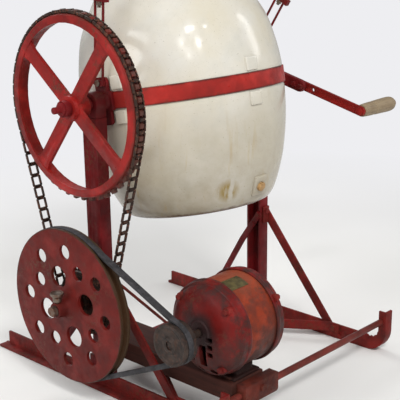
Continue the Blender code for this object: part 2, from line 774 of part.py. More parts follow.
# The trunnion castings, one on each side
def gudgeon(side):
    name = SIDE_NAMES[side]
    ear_top = EAR_REACH
    corner = EAR_CORNER
    quarter = math.pi / 2
    outline = []
    outline += [(CASTING_HALF_WIDTH, -CASTING_HALF_HEIGHT), (CASTING_HALF_WIDTH, CASTING_HALF_HEIGHT)]
    root = CASTING_HALF_HEIGHT + BITE
    outline += [(EAR_HALF_WIDTH, root)]
    outline += arc(corner, 0, quarter, 3, (EAR_HALF_WIDTH - corner, ear_top - corner))
    outline += arc(corner, quarter, 2 * quarter, 3, (corner - EAR_HALF_WIDTH, ear_top - corner))
    outline += [(-EAR_HALF_WIDTH, root), (-CASTING_HALF_WIDTH, CASTING_HALF_HEIGHT)]
    outline += [(-CASTING_HALF_WIDTH, -CASTING_HALF_HEIGHT), (-EAR_HALF_WIDTH, -root)]
    outline += arc(corner, 2 * quarter, 3 * quarter, 3, (corner - EAR_HALF_WIDTH, corner - ear_top))
    outline += arc(corner, 3 * quarter, 4 * quarter, 3, (EAR_HALF_WIDTH - corner, corner - ear_top))
    outline += [(EAR_HALF_WIDTH, -root)]
    low, high = span(side, CASTING_INNER_RADIUS - CASTING_SINK, CASTING_FACE)
    hole = circle(LINK_PIN_RADIUS + RUNNING_GAP, PIN_STEPS, (0, EAR_PIN_HEIGHT))
    body = plate(f"{name}_gudgeon", outline, low, high, JAR_AXIS, "red_paint", [hole])
    seat = turned(
        f"{name} hoop seat",
        [
            (-EAR_REACH - OVERRUN, 0),
            (EAR_REACH + OVERRUN, 0),
            (EAR_REACH + OVERRUN, CASTING_INNER_RADIUS),
            (-EAR_REACH - OVERRUN, CASTING_INNER_RADIUS),
        ],
        JAR_AXIS,
        steps=JAR_STEPS,
        along_x=False,
    )
    cut(body, seat)
    inner = CASTING_FACE - BITE
    end = WHEEL_SHAFT_END if side == LEFT else SOCKET_OUTER_FACE + OVERRUN / 2
    shoulder = WHEEL_COLLAR_END + OVERRUN if side == LEFT else end
    profile = [(inner, 0), (inner, BOSS_RADIUS), (BOSS_END, BOSS_RADIUS), (BOSS_END, SHAFT_RADIUS)]
    profile += [(shoulder, SHAFT_RADIUS)]
    if side == LEFT:
        profile += [(shoulder, SHAFT_END_RADIUS), (end, SHAFT_END_RADIUS)]
    profile += [(end, 0)]
    shaft = turned(f"{name} shaft", [(side * place, radius) for place, radius in profile], JAR_AXIS)
    join(body, shaft)


def link_pin(side):
    name = SIDE_NAMES[side]
    start = CASTING_INNER_RADIUS + RUNNING_GAP
    head = LINK_OUTER_FACE + RUNNING_GAP
    profile = [(start, 0), (start, LINK_PIN_RADIUS), (head, LINK_PIN_RADIUS), (head, LINK_PIN_HEAD)]
    profile += [(LINK_PIN_END, LINK_PIN_HEAD), (LINK_PIN_END, 0)]
    points = [(side * place, radius) for place, radius in profile]
    pin = turned(f"{name}_link_pin", points, JAR_AXIS, "bright_iron", PIN_STEPS)
    pin.location = (0, 0, EAR_PIN_HEIGHT)


# The lid clamp: a swinging link and a long screw on each side
def link_and_screw(side, lean):
    name = SIDE_NAMES[side]
    pivot = axis_empty(f"{name}_link_pivot", JAR_AXIS, (0, 0, EAR_PIN_HEIGHT), (lean + JAR_TILT, 0, 0))
    centre = side * LINK_CENTRE
    low, high = span(side, LINK_INNER_FACE, LINK_OUTER_FACE)
    half = LINK_BAR_LENGTH / 2
    rise = LINK_BAR_HEIGHT / 2
    outline = [(half, -rise / 2), (half, rise), (-half, rise), (-half, -rise / 2)]
    outline += [(-half / 2, -rise), (half / 2, -rise)]
    hole = circle(LINK_PIN_RADIUS + RUNNING_GAP, PIN_STEPS)
    link = plate(f"{name}_link", outline, low, high, pivot, "red_paint", [hole])
    head_hole = circle(CLAMP_SCREW_RADIUS + RUNNING_GAP, PIN_STEPS, (centre, 0))
    head_outline = [
        (centre - CROSSHEAD_WALL / 2, -CROSSHEAD_LENGTH / 2),
        (centre + CROSSHEAD_WALL / 2, -CROSSHEAD_LENGTH / 2),
        (centre + CROSSHEAD_WALL / 2, CROSSHEAD_LENGTH / 2),
        (centre - CROSSHEAD_WALL / 2, CROSSHEAD_LENGTH / 2),
    ]
    bottom = LINK_LENGTH - CROSSHEAD_HEIGHT / 2
    top = LINK_LENGTH + CROSSHEAD_HEIGHT / 2
    crosshead = plate(f"{name} crosshead", head_outline, bottom, top, pivot, None, [head_hole], "XY")
    join(link, crosshead)
    for place in (LINK_ROD_SPACING / 2, -LINK_ROD_SPACING / 2):
        ends = (centre, place, 0), (centre, place, LINK_LENGTH)
        join(link, bar(f"{name} link rod", *ends, LINK_ROD_RADIUS, pivot, None, 8))
    foot = LINK_LENGTH - CLAMP_SCREW_BELOW
    collar_top = bottom - RUNNING_GAP
    collar_bottom = collar_top - CLAMP_COLLAR_HEIGHT
    nut_bottom = YOKE_TOP - EAR_PIN_HEIGHT + NUT_CLEAR
    nut_top = nut_bottom + WING_NUT_HEIGHT
    tip = nut_top + CLAMP_SCREW_ABOVE
    profile = [(foot, 0), (foot, CLAMP_SCREW_RADIUS), (collar_bottom, CLAMP_SCREW_RADIUS)]
    profile += [(collar_bottom, CLAMP_COLLAR_RADIUS), (collar_top, CLAMP_COLLAR_RADIUS)]
    profile += [(collar_top, CLAMP_SCREW_RADIUS), (nut_bottom, CLAMP_SCREW_RADIUS)]
    profile += [(nut_bottom, WING_NUT_RADIUS), (nut_top, WING_NUT_RADIUS * WING_NUT_TAPER)]
    profile += [(nut_top, CLAMP_SCREW_RADIUS), (tip, CLAMP_SCREW_RADIUS), (tip, 0)]
    where = {"along_x": False, "location": (centre, 0, 0)}
    screw = turned(f"{name}_clamp_screw", profile, pivot, "bright_iron", PIN_STEPS, **where)
    wing_half = WING_SPAN / 2
    wing = [(WING_NUT_RADIUS / 2, 0), (wing_half, WING_NUT_HEIGHT / 2), (wing_half, WING_HEIGHT)]
    wing += [(wing_half - WING_WALL * 2, WING_HEIGHT)]
    wing += [(WING_NUT_RADIUS / 2, WING_NUT_HEIGHT * WING_NUT_TAPER)]
    for turn in (1, -1):
        points = [(turn * place, nut_bottom + BITE + height) for place, height in wing]
        if turn < 0:
            points.reverse()
        plate_low, plate_high = centre - WING_WALL / 2, centre + WING_WALL / 2
        join(screw, plate(f"{name} nut wing", points, plate_low, plate_high, pivot))


def lid():
    lid_empty = axis_empty("lid_axis", JAR_AXIS)
    top = LID_SEAT + LID_WALL
    crown = top + LID_CROWN
    inner_crown = crown - LID_WALL
    profile = [
        (crown, 0),
        (crown, LID_CROWN_RADIUS),
        (top + LID_WALL, LID_PLUG_RADIUS),
        (top, LID_PLUG_RADIUS + LID_WALL),
        (top, LID_RADIUS),
        (LID_SEAT, LID_RADIUS),
        (LID_SEAT, LID_PLUG_RADIUS),
        (LID_SEAT - LID_PLUG_DEPTH, LID_PLUG_RADIUS),
        (LID_SEAT - LID_PLUG_DEPTH, LID_PLUG_RADIUS - LID_WALL),
        (LID_SEAT, LID_PLUG_RADIUS - LID_WALL),
        (inner_crown, LID_CROWN_RADIUS - LID_WALL),
        (inner_crown, 0),
    ]
    turned("lid", profile, lid_empty, "tinned_steel", JAR_STEPS, along_x=False)
    low = JAR_RIM_TOP + SEAT_GAP
    high = low + GASKET_THICKNESS
    ring = [(low, GASKET_INNER), (high, GASKET_INNER), (high, GASKET_OUTER), (low, GASKET_OUTER)]
    turned("lid_gasket", ring, lid_empty, "seal_rubber", JAR_STEPS, along_x=False)
    half = YOKE_WIDTH / 2
    slot = YOKE_SLOT_HALF_WIDTH
    outline = []
    inner = LINK_CENTRE - slot
    outer = LINK_CENTRE + slot
    outline += [(-YOKE_END, -half), (-outer, -half)]
    outline += arc(slot, -math.pi, -2 * math.pi, 8, (-LINK_CENTRE, 0))
    outline += [(-inner, -half), (inner, -half)]
    outline += arc(slot, math.pi, 0, 8, (LINK_CENTRE, 0))
    outline += [(outer, -half), (YOKE_END, -half), (YOKE_END, half), (-YOKE_END, half)]
    yoke = plate("lid_yoke", outline, YOKE_BOTTOM, YOKE_TOP, lid_empty, "red_paint", (), "XY")
    ends = (0, 0, YOKE_BOTTOM), (0, 0, YOKE_TOP + OVERRUN)
    pad = bar("yoke pad", *ends, YOKE_PAD_RADIUS, lid_empty)
    join(yoke, pad)


# The stand
def bearing(side):
    name = SIDE_NAMES[side]
    low, high = span(side, BEARING_INNER_FACE, BEARING_OUTER_FACE)
    half = POST_WIDTH / 2
    base = TRUNNION_HEIGHT - POST_TOP_BELOW_AXIS + SEAT_GAP
    shoulder = TRUNNION_HEIGHT - BEARING_SHOULDER_BELOW_AXIS
    tilt = math.asin(BEARING_SHOULDER_BELOW_AXIS / BEARING_CAP_RADIUS)
    outline = [(half, base), (half, shoulder)]
    outline += arc(BEARING_CAP_RADIUS, -tilt / 2, math.pi + tilt / 2, 14, (0, TRUNNION_HEIGHT))
    outline += [(-half, shoulder), (-half, base)]
    hole = circle(SHAFT_HOLE_RADIUS, ROUND_STEPS, (0, TRUNNION_HEIGHT))
    body = plate(f"{name}_bearing", outline, low, high, ORIGIN, "dark_paint", [hole])
    inner_half = POST_WIDTH / 2 - POST_WALL - SEAT_GAP
    web_face = POST_OUTER_FACE - POST_WALL - SEAT_GAP
    tongue = side_box(
        f"{name} bearing tongue", side, BEARING_INNER_FACE + BITE, web_face, -inner_half, inner_half,
        POST_TOP - BEARING_TONGUE_LENGTH, base + BITE, ORIGIN,
    )
    bolt_height = POST_TOP - BEARING_BOLT_DROP
    head_face = POST_OUTER_FACE + SEAT_GAP
    ends = [(side * x, 0, bolt_height) for x in (web_face - OVERRUN, head_face + BITE)]
    shank = bar(f"{name} bearing bolt", *ends, BOLT_RADIUS, ORIGIN)
    ends = [(side * x, 0, bolt_height) for x in (head_face, head_face + BOLT_HEAD_HEIGHT)]
    head = bar(f"{name} bearing bolt head", *ends, BOLT_HEAD_RADIUS, ORIGIN, None, 6)
    join(body, tongue, shank, head)


def post(side):
    name = SIDE_NAMES[side]
    half = POST_WIDTH / 2
    wall = POST_WALL
    outline = [
        (side * POST_INNER_FACE, -half),
        (side * POST_OUTER_FACE, -half),
        (side * POST_OUTER_FACE, half),
        (side * POST_INNER_FACE, half),
        (side * POST_INNER_FACE, half - wall),
        (side * (POST_OUTER_FACE - wall), half - wall),
        (side * (POST_OUTER_FACE - wall), wall - half),
        (side * POST_INNER_FACE, wall - half),
    ]
    body = plate(f"{name}_post", outline, POST_FOOT_HEIGHT, POST_TOP, ORIGIN, "dark_paint", (), "XY")
    near = side * (POST_OUTER_FACE - wall - OVERRUN)
    far = side * (POST_OUTER_FACE + OVERRUN)
    bolt_height = POST_TOP - BEARING_BOLT_DROP
    ends = (near, 0, bolt_height), (far, 0, bolt_height)
    cut(body, bar(f"{name} bolt hole", *ends, BOLT_RADIUS + SEAT_GAP, ORIGIN))
    if side == LEFT:
        height = COUNTERSHAFT_HEIGHT
        radius = COUNTERSHAFT_RADIUS + RUNNING_GAP
        cut(body, bar("countershaft hole", (near, 0, height), (far, 0, height), radius, ORIGIN))


def runner(side):
    """An angle iron with its flange outwards, curled up at the front like a sledge runner."""
    name = SIDE_NAMES[side]
    wall, high = RUNNER_WALL, RUNNER_HEIGHT
    centre = Vector((0, CURL_RADIUS - RUNNER_FRONT, CURL_RADIUS))
    back = RUNNER_BACK + RUNNER_FLANGE_RUN
    up, rear = Vector((0, 0, 1)), Vector((0, 1, 0))
    # Each station: a point on the outer side, the way inwards and the height of the leg there.
    path = [(rear * back, up, wall + BITE), (rear * (RUNNER_BACK + BITE), up, wall + BITE)]
    path += [(rear * RUNNER_BACK, up, high)]
    steps = len(CURL_LEG_HEIGHTS) - 1
    for i, leg in enumerate(CURL_LEG_HEIGHTS):
        turn = math.pi / 2 * i / steps
        out = Vector((0, -math.sin(turn), -math.cos(turn)))
        path.append((centre + out * CURL_RADIUS, -out, leg))
    top = Vector((0, -RUNNER_FRONT, CURL_HEIGHT))
    path.append((top, rear, CURL_LEG_DEPTH))
    near, far = side * RUNNER_INNER_FACE, side * (RUNNER_INNER_FACE + RUNNER_FLANGE)
    inside = side * (RUNNER_INNER_FACE + wall)
    stations = []
    for point, inwards, leg in path:
        section = []
        for x, depth in ((near, 0), (far, 0), (far, wall), (inside, wall), (inside, leg), (near, leg)):
            section.append(point + inwards * depth + Vector((x, 0, 0)))
        stations.append(section)
    body = sweep(f"{name}_runner", stations, ORIGIN, "red_paint")
    ends = [(side * (RUNNER_INNER_FACE - OVERRUN), -FRONT_ROD_PLACE, FRONT_ROD_HEIGHT)]
    ends += [(side * (RUNNER_INNER_FACE + wall + OVERRUN), -FRONT_ROD_PLACE, FRONT_ROD_HEIGHT)]
    cut(body, bar(f"{name} rod hole", ends[0], ends[1], FRONT_ROD_END_RADIUS + RUNNING_GAP, ORIGIN, None, 12))
    outer = RUNNER_INNER_FACE + wall
    for place in (0, -FRONT_BRACE_FOOT - FRONT_BRACE_WIDTH / 2, REAR_BRACE_FOOT):
        height = RUNNER_HEIGHT - BOLT_HEAD_RADIUS - wall
        join(body, bolt_head(f"{name} runner bolt", (side * outer, place, height), (side, 0, 0), ORIGIN))


def front_brace(side):
    name = SIDE_NAMES[side]
    face = -POST_WIDTH / 2 - SEAT_GAP
    top = Vector((face, FRONT_BRACE_TOP))
    foot = Vector((-FRONT_BRACE_FOOT, FRONT_BRACE_FOOT_HEIGHT))
    along = (foot - top).normalized()
    across = FRONT_BRACE_WIDTH / 2
    # The strip is cut upright at the post and level above the floor.
    rise = across / abs(along.x)
    run = across / abs(along.y)
    end = foot + along * ((FRONT_BRACE_FOOT_HEIGHT - FRONT_BRACE_CLEAR_OF_FLOOR) / abs(along.y))
    start = face - BITE
    height = FRONT_BRACE_TOP + along.y / abs(along.x) * BITE
    outline = [(start, height + rise), (start, height - rise), (end.x + run, end.y), (end.x - run, end.y)]
    low, high = span(side, BRACE_INNER_FACE, BRACE_OUTER_FACE)
    body = plate(f"{name}_front_brace", outline, low, high, ORIGIN, "red_paint")
    tab_low, tab_high = span(side, BRACE_OUTER_FACE - FRONT_BRACE_TAB_WIDTH, BRACE_OUTER_FACE - BITE)
    half = FRONT_BRACE_TAB_HEIGHT / 2
    tab = box(
        f"{name} brace tab", (tab_low, face - FRONT_BRACE_WALL, FRONT_BRACE_TOP - half),
        (tab_high, face, FRONT_BRACE_TOP + half), ORIGIN,
    )
    place = side * (BRACE_OUTER_FACE - FRONT_BRACE_TAB_WIDTH * FRONT_BRACE_BOLT_SHARE)
    point = (place, face - FRONT_BRACE_WALL, FRONT_BRACE_TOP + half / 2)
    radius = BOLT_HEAD_RADIUS * SMALL_HEAD
    head = bolt_head(f"{name} brace bolt", point, (0, -1, 0), ORIGIN, radius)
    join(body, tab, head)


def rear_brace(side):
    name = SIDE_NAMES[side]
    inner = POST_INNER_FACE - SEAT_GAP - REAR_BRACE_WALL / 2
    outer = POST_OUTER_FACE - REAR_BRACE_WALL / 2
    slope = (REAR_BRACE_TOP - REAR_BRACE_FOOT_HEIGHT) / (REAR_BRACE_TOP_PLACE + REAR_BRACE_FOOT)

    def at(place, level):
        return (side * level, place, REAR_BRACE_TOP - slope * (place + REAR_BRACE_TOP_PLACE))

    points = [at(-REAR_BRACE_TOP_PLACE, inner), at(REAR_BRACE_BEND, inner)]
    points += [at(REAR_BRACE_FOOT - REAR_BRACE_FOOT_TAB, outer), at(REAR_BRACE_FOOT, outer)]
    thin = (1, 0, 0)
    body = strap(f"{name}_rear_brace", points, REAR_BRACE_WIDTH, REAR_BRACE_WALL, ORIGIN, "dark_paint", thin)
    middle = at(0, inner)
    end = POST_OUTER_FACE - POST_WALL - SEAT_GAP
    shank = bar(f"{name} brace shank", middle, (side * end, 0, middle[2]), BOLT_RADIUS, ORIGIN, None, 12)
    face = (side * (inner - REAR_BRACE_WALL / 2), 0, middle[2])
    head = bolt_head(
        f"{name} rear bolt", face, (-side, 0, 0), ORIGIN, BOLT_HEAD_RADIUS * SMALL_HEAD, BOLT_HEAD_HEIGHT / 2
    )
    join(body, shank, head)


def cross_bar():
    bar_end = POST_OUTER_FACE
    body = box(
        "cross_bar", (-bar_end, CROSS_BAR_FRONT, CROSS_BAR_BOTTOM),
        (bar_end, CROSS_BAR_FRONT + CROSS_BAR_THICKNESS, CROSS_BAR_TOP), ORIGIN, "dark_paint",
    )
    height = (CROSS_BAR_BOTTOM + CROSS_BAR_TOP) / 2
    back = CROSS_BAR_FRONT + CROSS_BAR_THICKNESS
    for place in (-POST_OUTER_FACE + POST_DEPTH / 2, POST_OUTER_FACE - POST_DEPTH / 2):
        join(body, bolt_head("cross bar bolt", (place, back, height), (0, 1, 0), ORIGIN))


def knee(side):
    """A level bar that braces the cross bar to the runner, with a bent tab at each end."""
    name = SIDE_NAMES[side]
    height = KNEE_TOP - KNEE_HEIGHT / 2
    near = CROSS_BAR_FRONT - SEAT_GAP - KNEE_WALL / 2
    far = side * KNEE_FOOT_LINE
    points = [
        (side * KNEE_INNER_PLACE, near, height),
        (side * (KNEE_INNER_PLACE + KNEE_TAB), near, height),
        (far, -KNEE_FOOT_PLACE, height),
        (far, -KNEE_FOOT_PLACE - KNEE_TAB, height),
    ]
    body = strap(f"{name}_knee", points, KNEE_HEIGHT, KNEE_WALL, ORIGIN, "dark_paint", None, (0, 0, 1))
    face = near - KNEE_WALL / 2
    place = side * (KNEE_INNER_PLACE + KNEE_TAB / 2)
    foot = (side * (KNEE_FOOT_LINE - KNEE_WALL / 2), -KNEE_FOOT_PLACE - KNEE_TAB / 2, height)
    join(body, bolt_head(f"{name} knee bolt", (place, face, height), (0, -1, 0), ORIGIN))
    join(body, bolt_head(f"{name} knee foot bolt", foot, (-side, 0, 0), ORIGIN))


def front_rod():
    shoulder = RUNNER_INNER_FACE - SEAT_GAP
    nut = RUNNER_INNER_FACE + RUNNER_WALL + SEAT_GAP
    end = nut + FRONT_ROD_NUT_HEIGHT
    half = [(shoulder, FRONT_ROD_RADIUS), (shoulder, FRONT_ROD_END_RADIUS), (nut, FRONT_ROD_END_RADIUS)]
    half += [(nut, FRONT_ROD_NUT_RADIUS), (end, FRONT_ROD_NUT_RADIUS), (end, 0)]
    profile = half + [(-place, radius) for place, radius in reversed(half)]
    turned("front_rod", profile, ORIGIN, "bright_iron", 16, location=(0, -FRONT_ROD_PLACE, FRONT_ROD_HEIGHT))


# The chain drive
def tooth_ring(name, teeth, pitch_radius, phase, inner, parent):
    root = pitch_radius * math.cos(math.pi / teeth) - CHAIN_DEPTH / 2 - CHAIN_GAP
    tip = root + TOOTH_HEIGHT
    points = []
    for i in range(teeth):
        middle = phase + 2 * math.pi * i / teeth
        for radius, half, sign in (
            (root - TOOTH_ROOT_SINK, TOOTH_BASE / 2, -1),
            (tip, TOOTH_TIP / 2, -1),
            (tip, TOOTH_TIP / 2, 1),
            (root - TOOTH_ROOT_SINK, TOOTH_BASE / 2, 1),
        ):
            angle = middle + sign * half / root
            points.append((radius * math.cos(angle), radius * math.sin(angle)))
    low, high = span(LEFT, CHAIN_CENTRE - TOOTH_THICKNESS / 2, CHAIN_CENTRE + TOOTH_THICKNESS / 2)
    return plate(name, points, low, high, parent, None, [circle(inner, teeth)])


def sprocket_wheel():
    root = WHEEL_PITCH_RADIUS * math.cos(math.pi / WHEEL_TEETH) - CHAIN_DEPTH / 2 - CHAIN_GAP
    inner = root - WHEEL_RIM
    bead = inner - WHEEL_RIM_BEAD
    front, back = WHEEL_FRONT_FACE, WHEEL_BACK_FACE
    profile = [
        (-front, root - WHEEL_RIM_BEAD),
        (-front + WHEEL_RIM_BEAD, root),
        (-back, root),
        (-back, inner),
        (-front + 2 * WHEEL_RIM_BEAD, inner),
        (-front + WHEEL_RIM_BEAD, bead),
        (-front, bead),
    ]
    wheel = turned("sprocket_wheel", profile, TRUNNION_LINE, "red_paint", WHEEL_TEETH)
    phase = math.pi / 2 + math.pi / WHEEL_TEETH
    teeth = WHEEL_TEETH, WHEEL_PITCH_RADIUS, phase, root - WHEEL_RIM / 2
    join(wheel, tooth_ring("wheel teeth", *teeth, TRUNNION_LINE))
    spoke_front = front - WHEEL_SPOKE_INSET
    low, high = span(LEFT, spoke_front - WHEEL_SPOKE_DEPTH, spoke_front)
    half = WHEEL_SPOKE_WIDTH / 2
    flare = WHEEL_SPOKE_FLARE
    reach = inner + WHEEL_RIM / 2
    outline = []
    hub = WHEEL_HUB_RADIUS
    for i in range(WHEEL_SPOKES):
        turn = WHEEL_SPOKE_PHASE + 2 * math.pi * i / WHEEL_SPOKES
        spoke = [
            (hub - BITE, -half),
            (inner - 2 * flare, -half),
            (inner - flare / 2, -half - flare / 2),
            (inner, -half - 2 * flare),
            (reach, -half - 2 * flare),
            (reach, half + 2 * flare),
            (inner, half + 2 * flare),
            (inner - flare / 2, half + flare / 2),
            (inner - 2 * flare, half),
            (hub - BITE, half),
        ]
        along, across = math.cos(turn), math.sin(turn)
        outline += [(u * along - v * across, u * across + v * along) for u, v in spoke]
    join(wheel, plate("wheel spokes", outline, low, high, TRUNNION_LINE))
    bore = SHAFT_RADIUS + SEAT_GAP
    hub_solid = [(-WHEEL_HUB_END, 0), (-WHEEL_HUB_END, hub), (-WHEEL_HUB_BACK, hub), (-WHEEL_HUB_BACK, 0)]
    join(wheel, turned("wheel hub", hub_solid, TRUNNION_LINE))
    ends = (-WHEEL_HUB_END - OVERRUN, 0, 0), (OVERRUN - WHEEL_HUB_BACK, 0, 0)
    cut(wheel, bar("wheel bore", *ends, bore, TRUNNION_LINE))


def wheel_collar():
    near = WHEEL_HUB_END + SEAT_GAP
    bore = SHAFT_RADIUS + SEAT_GAP
    far, radius = WHEEL_COLLAR_END, WHEEL_COLLAR_RADIUS
    profile = [(-far, bore), (-far, radius), (-near, radius), (-near, bore)]
    turned("wheel_collar", profile, TRUNNION_LINE, "dark_paint")


def chain_joints():
    """The places of the chain's joints, spaced evenly in pitches from the top of the wheel."""
    distance = TRUNNION_HEIGHT - COUNTERSHAFT_HEIGHT
    lean = math.asin((WHEEL_PITCH_RADIUS - SPROCKET_PITCH_RADIUS) / distance)
    wheel_wrap = math.pi + 2 * lean
    sprocket_wrap = math.pi - 2 * lean
    straight = distance * math.cos(lean)
    wheel_links = wheel_wrap * WHEEL_TEETH / (2 * math.pi)
    sprocket_links = sprocket_wrap * SPROCKET_TEETH / (2 * math.pi)
    straight_links = straight / CHAIN_PITCH
    total = wheel_links + sprocket_links + 2 * straight_links
    count = 2 * round(total / 2)
    joints = []
    for i in range(count):
        run = i * total / count
        if run < wheel_links / 2 or run > total - wheel_links / 2:
            angle = math.pi / 2 - run * 2 * math.pi / WHEEL_TEETH
            if run > wheel_links / 2:
                angle = math.pi / 2 + (total - run) * 2 * math.pi / WHEEL_TEETH
            centre, radius = TRUNNION_HEIGHT, WHEEL_PITCH_RADIUS
            joints.append(Vector((0, radius * math.cos(angle), centre + radius * math.sin(angle))))
            continue
        leaving = run < total / 2
        side = 1 if leaving else -1
        beyond = (run if leaving else total - run) - wheel_links / 2
        if beyond < straight_links:
            out, down = side * math.cos(lean), math.sin(lean)
            start = Vector((0, WHEEL_PITCH_RADIUS * out, TRUNNION_HEIGHT - WHEEL_PITCH_RADIUS * down))
            end = Vector((0, SPROCKET_PITCH_RADIUS * out, COUNTERSHAFT_HEIGHT - SPROCKET_PITCH_RADIUS * down))
            joints.append(start.lerp(end, beyond / straight_links))
        else:
            angle = -lean - (beyond - straight_links) * 2 * math.pi / SPROCKET_TEETH
            y = side * SPROCKET_PITCH_RADIUS * math.cos(angle)
            joints.append(Vector((0, y, COUNTERSHAFT_HEIGHT + SPROCKET_PITCH_RADIUS * math.sin(angle))))
    return joints


def drive_chain():
    """The ladder chain as one closed strip with a window between every two cross bars."""
    joints = chain_joints()
    count = len(joints)
    outer, window, deep = CHAIN_WIDTH / 2, CHAIN_WINDOW / 2, CHAIN_DEPTH / 2
    levels = [place - CHAIN_CENTRE for place in (-outer, -window, window, outer)]
    bm = bmesh.new()
    stations = []
    for i, joint in enumerate(joints):
        before = (joint - joints[i - 1]).normalized()
        after = (joints[(i + 1) % count] - joint).normalized()
        half_bar = CHAIN_BAR / 2
        for along, place in ((before, joint - before * half_bar), (after, joint + after * half_bar)):
            out = Vector((0, -along.z, along.y))
            if out.dot(place - Vector((0, 0, (TRUNNION_HEIGHT + COUNTERSHAFT_HEIGHT) / 2))) < 0:
                out = -out
            rows = []
            for radial in (deep, -deep):
                rows.append([bm.verts.new(place + out * radial + Vector((level, 0, 0))) for level in levels])
            stations.append(rows)
    total = len(stations)
    for i in range(total):
        (top_a, low_a), (top_b, low_b) = stations[i], stations[(i + 1) % total]
        is_bar = i % 2 == 0
        for column in range(3):
            if column != 1 or is_bar:
                bm.faces.new((top_a[column], top_a[column + 1], top_b[column + 1], top_b[column]))
                bm.faces.new((low_a[column], low_b[column], low_b[column + 1], low_a[column + 1]))
        bm.faces.new((top_a[0], top_b[0], low_b[0], low_a[0]))
        bm.faces.new((top_a[3], low_a[3], low_b[3], top_b[3]))
        if not is_bar:
            bm.faces.new((top_a[1], low_a[1], low_b[1], top_b[1]))
            bm.faces.new((top_a[2], top_b[2], low_b[2], low_a[2]))
        bm.faces.new((top_a[1], top_a[2], low_a[2], low_a[1]))
    add_object("drive_chain", mesh_of("drive_chain", bm), ORIGIN, "chain_iron")


def countershaft():
    front, back, radius = COUNTERSHAFT_END, COUNTERSHAFT_BACK, COUNTERSHAFT_RADIUS
    collar_front = POST_OUTER_FACE - POST_WALL - COLLAR_CLEAR
    collar_back = collar_front - BACK_COLLAR_LENGTH
    profile = [
        (-front, 0),
        (-front, radius - BITE),
        (-front + BITE, radius),
        (-collar_front, radius),
        (-collar_front, BACK_COLLAR_RADIUS),
        (-collar_back, BACK_COLLAR_RADIUS),
        (-collar_back, radius),
        (-back, radius),
        (-back, 0),
    ]
    turned("countershaft", profile, COUNTERSHAFT_LINE, "bright_iron")


def countershaft_bracket():
    near = POST_OUTER_FACE + SEAT_GAP
    low, high = span(LEFT, near, near + BRACKET_WALL)
    half, width = BRACKET_HALF_HEIGHT, BRACKET_HALF_WIDTH
    outline = arc(width, 0, math.pi, 8, (0, half - width))
    outline += arc(width, math.pi, 2 * math.pi, 8, (0, width - half))
    body = plate("countershaft_bracket", outline, low, high, COUNTERSHAFT_LINE, "dark_paint")
    bore = COUNTERSHAFT_RADIUS + RUNNING_GAP
    ends = (-near - BITE, 0, 0), (-BRACKET_BOSS_FACE, 0, 0)
    join(body, bar("bracket boss", *ends, BRACKET_BOSS_RADIUS, COUNTERSHAFT_LINE))
    for place in (BRACKET_BOLT_PLACE, -BRACKET_BOLT_PLACE):
        head = bolt_head(
            "bracket bolt", (-near - BRACKET_WALL, 0, place), (-1, 0, 0), COUNTERSHAFT_LINE,
            BOLT_HEAD_RADIUS * SMALL_HEAD, BOLT_HEAD_HEIGHT,
        )
        join(body, head)
    ends = ((OVERRUN - near, 0, 0), (-BRACKET_BOSS_FACE - OVERRUN, 0, 0))
    cut(body, bar("bracket bore", ends[0], ends[1], bore, COUNTERSHAFT_LINE))


def small_sprocket():
    root = SPROCKET_PITCH_RADIUS * math.cos(math.pi / SPROCKET_TEETH) - CHAIN_DEPTH / 2 - CHAIN_GAP
    front, back = SPROCKET_FRONT_FACE, WHEEL_BACK_FACE
    middle = CHAIN_CENTRE
    web = SPROCKET_WEB / 2
    bore = COUNTERSHAFT_RADIUS + SEAT_GAP
    hub = SPROCKET_HUB_RADIUS
    hub_front = PULLEY_HUB_BACK - SEAT_GAP
    inner = root - SPROCKET_RIM
    profile = [
        (-front, root),
        (-back, root),
        (-back, inner),
        (-middle + web, inner),
        (-middle + web, hub),
        (-SPROCKET_HUB_BACK, hub),
        (-SPROCKET_HUB_BACK, bore),
        (-hub_front, bore),
        (-hub_front, hub),
        (-middle - web, hub),
        (-middle - web, inner),
        (-front, inner),
    ]
    body = turned("small_sprocket", profile, COUNTERSHAFT_LINE, "chain_iron", SPROCKET_TEETH * 2)
    phase = -math.pi / 2 + math.pi / SPROCKET_TEETH
    teeth = SPROCKET_TEETH, SPROCKET_PITCH_RADIUS, phase, root - SPROCKET_RIM / 2
    join(body, tooth_ring("sprocket teeth", *teeth, COUNTERSHAFT_LINE))


# The belt drive
def groove(outer_radius, centre=BELT_CENTRE):
    """The profile points of a V groove, from the front edge to the back edge."""
    top = BELT_TOP_WIDTH / 2 + (SEAT_GAP / math.cos(BELT_FLANK)) - BELT_PROUD * math.tan(BELT_FLANK)
    deep = BELT_DEPTH - BELT_PROUD + GROOVE_BOTTOM_ROOM
    bottom = top - deep * math.tan(BELT_FLANK)
    return [
        (-centre - top, outer_radius),
        (-centre - bottom, outer_radius - deep),
        (-centre + bottom, outer_radius - deep),
        (-centre + top, outer_radius),
    ]


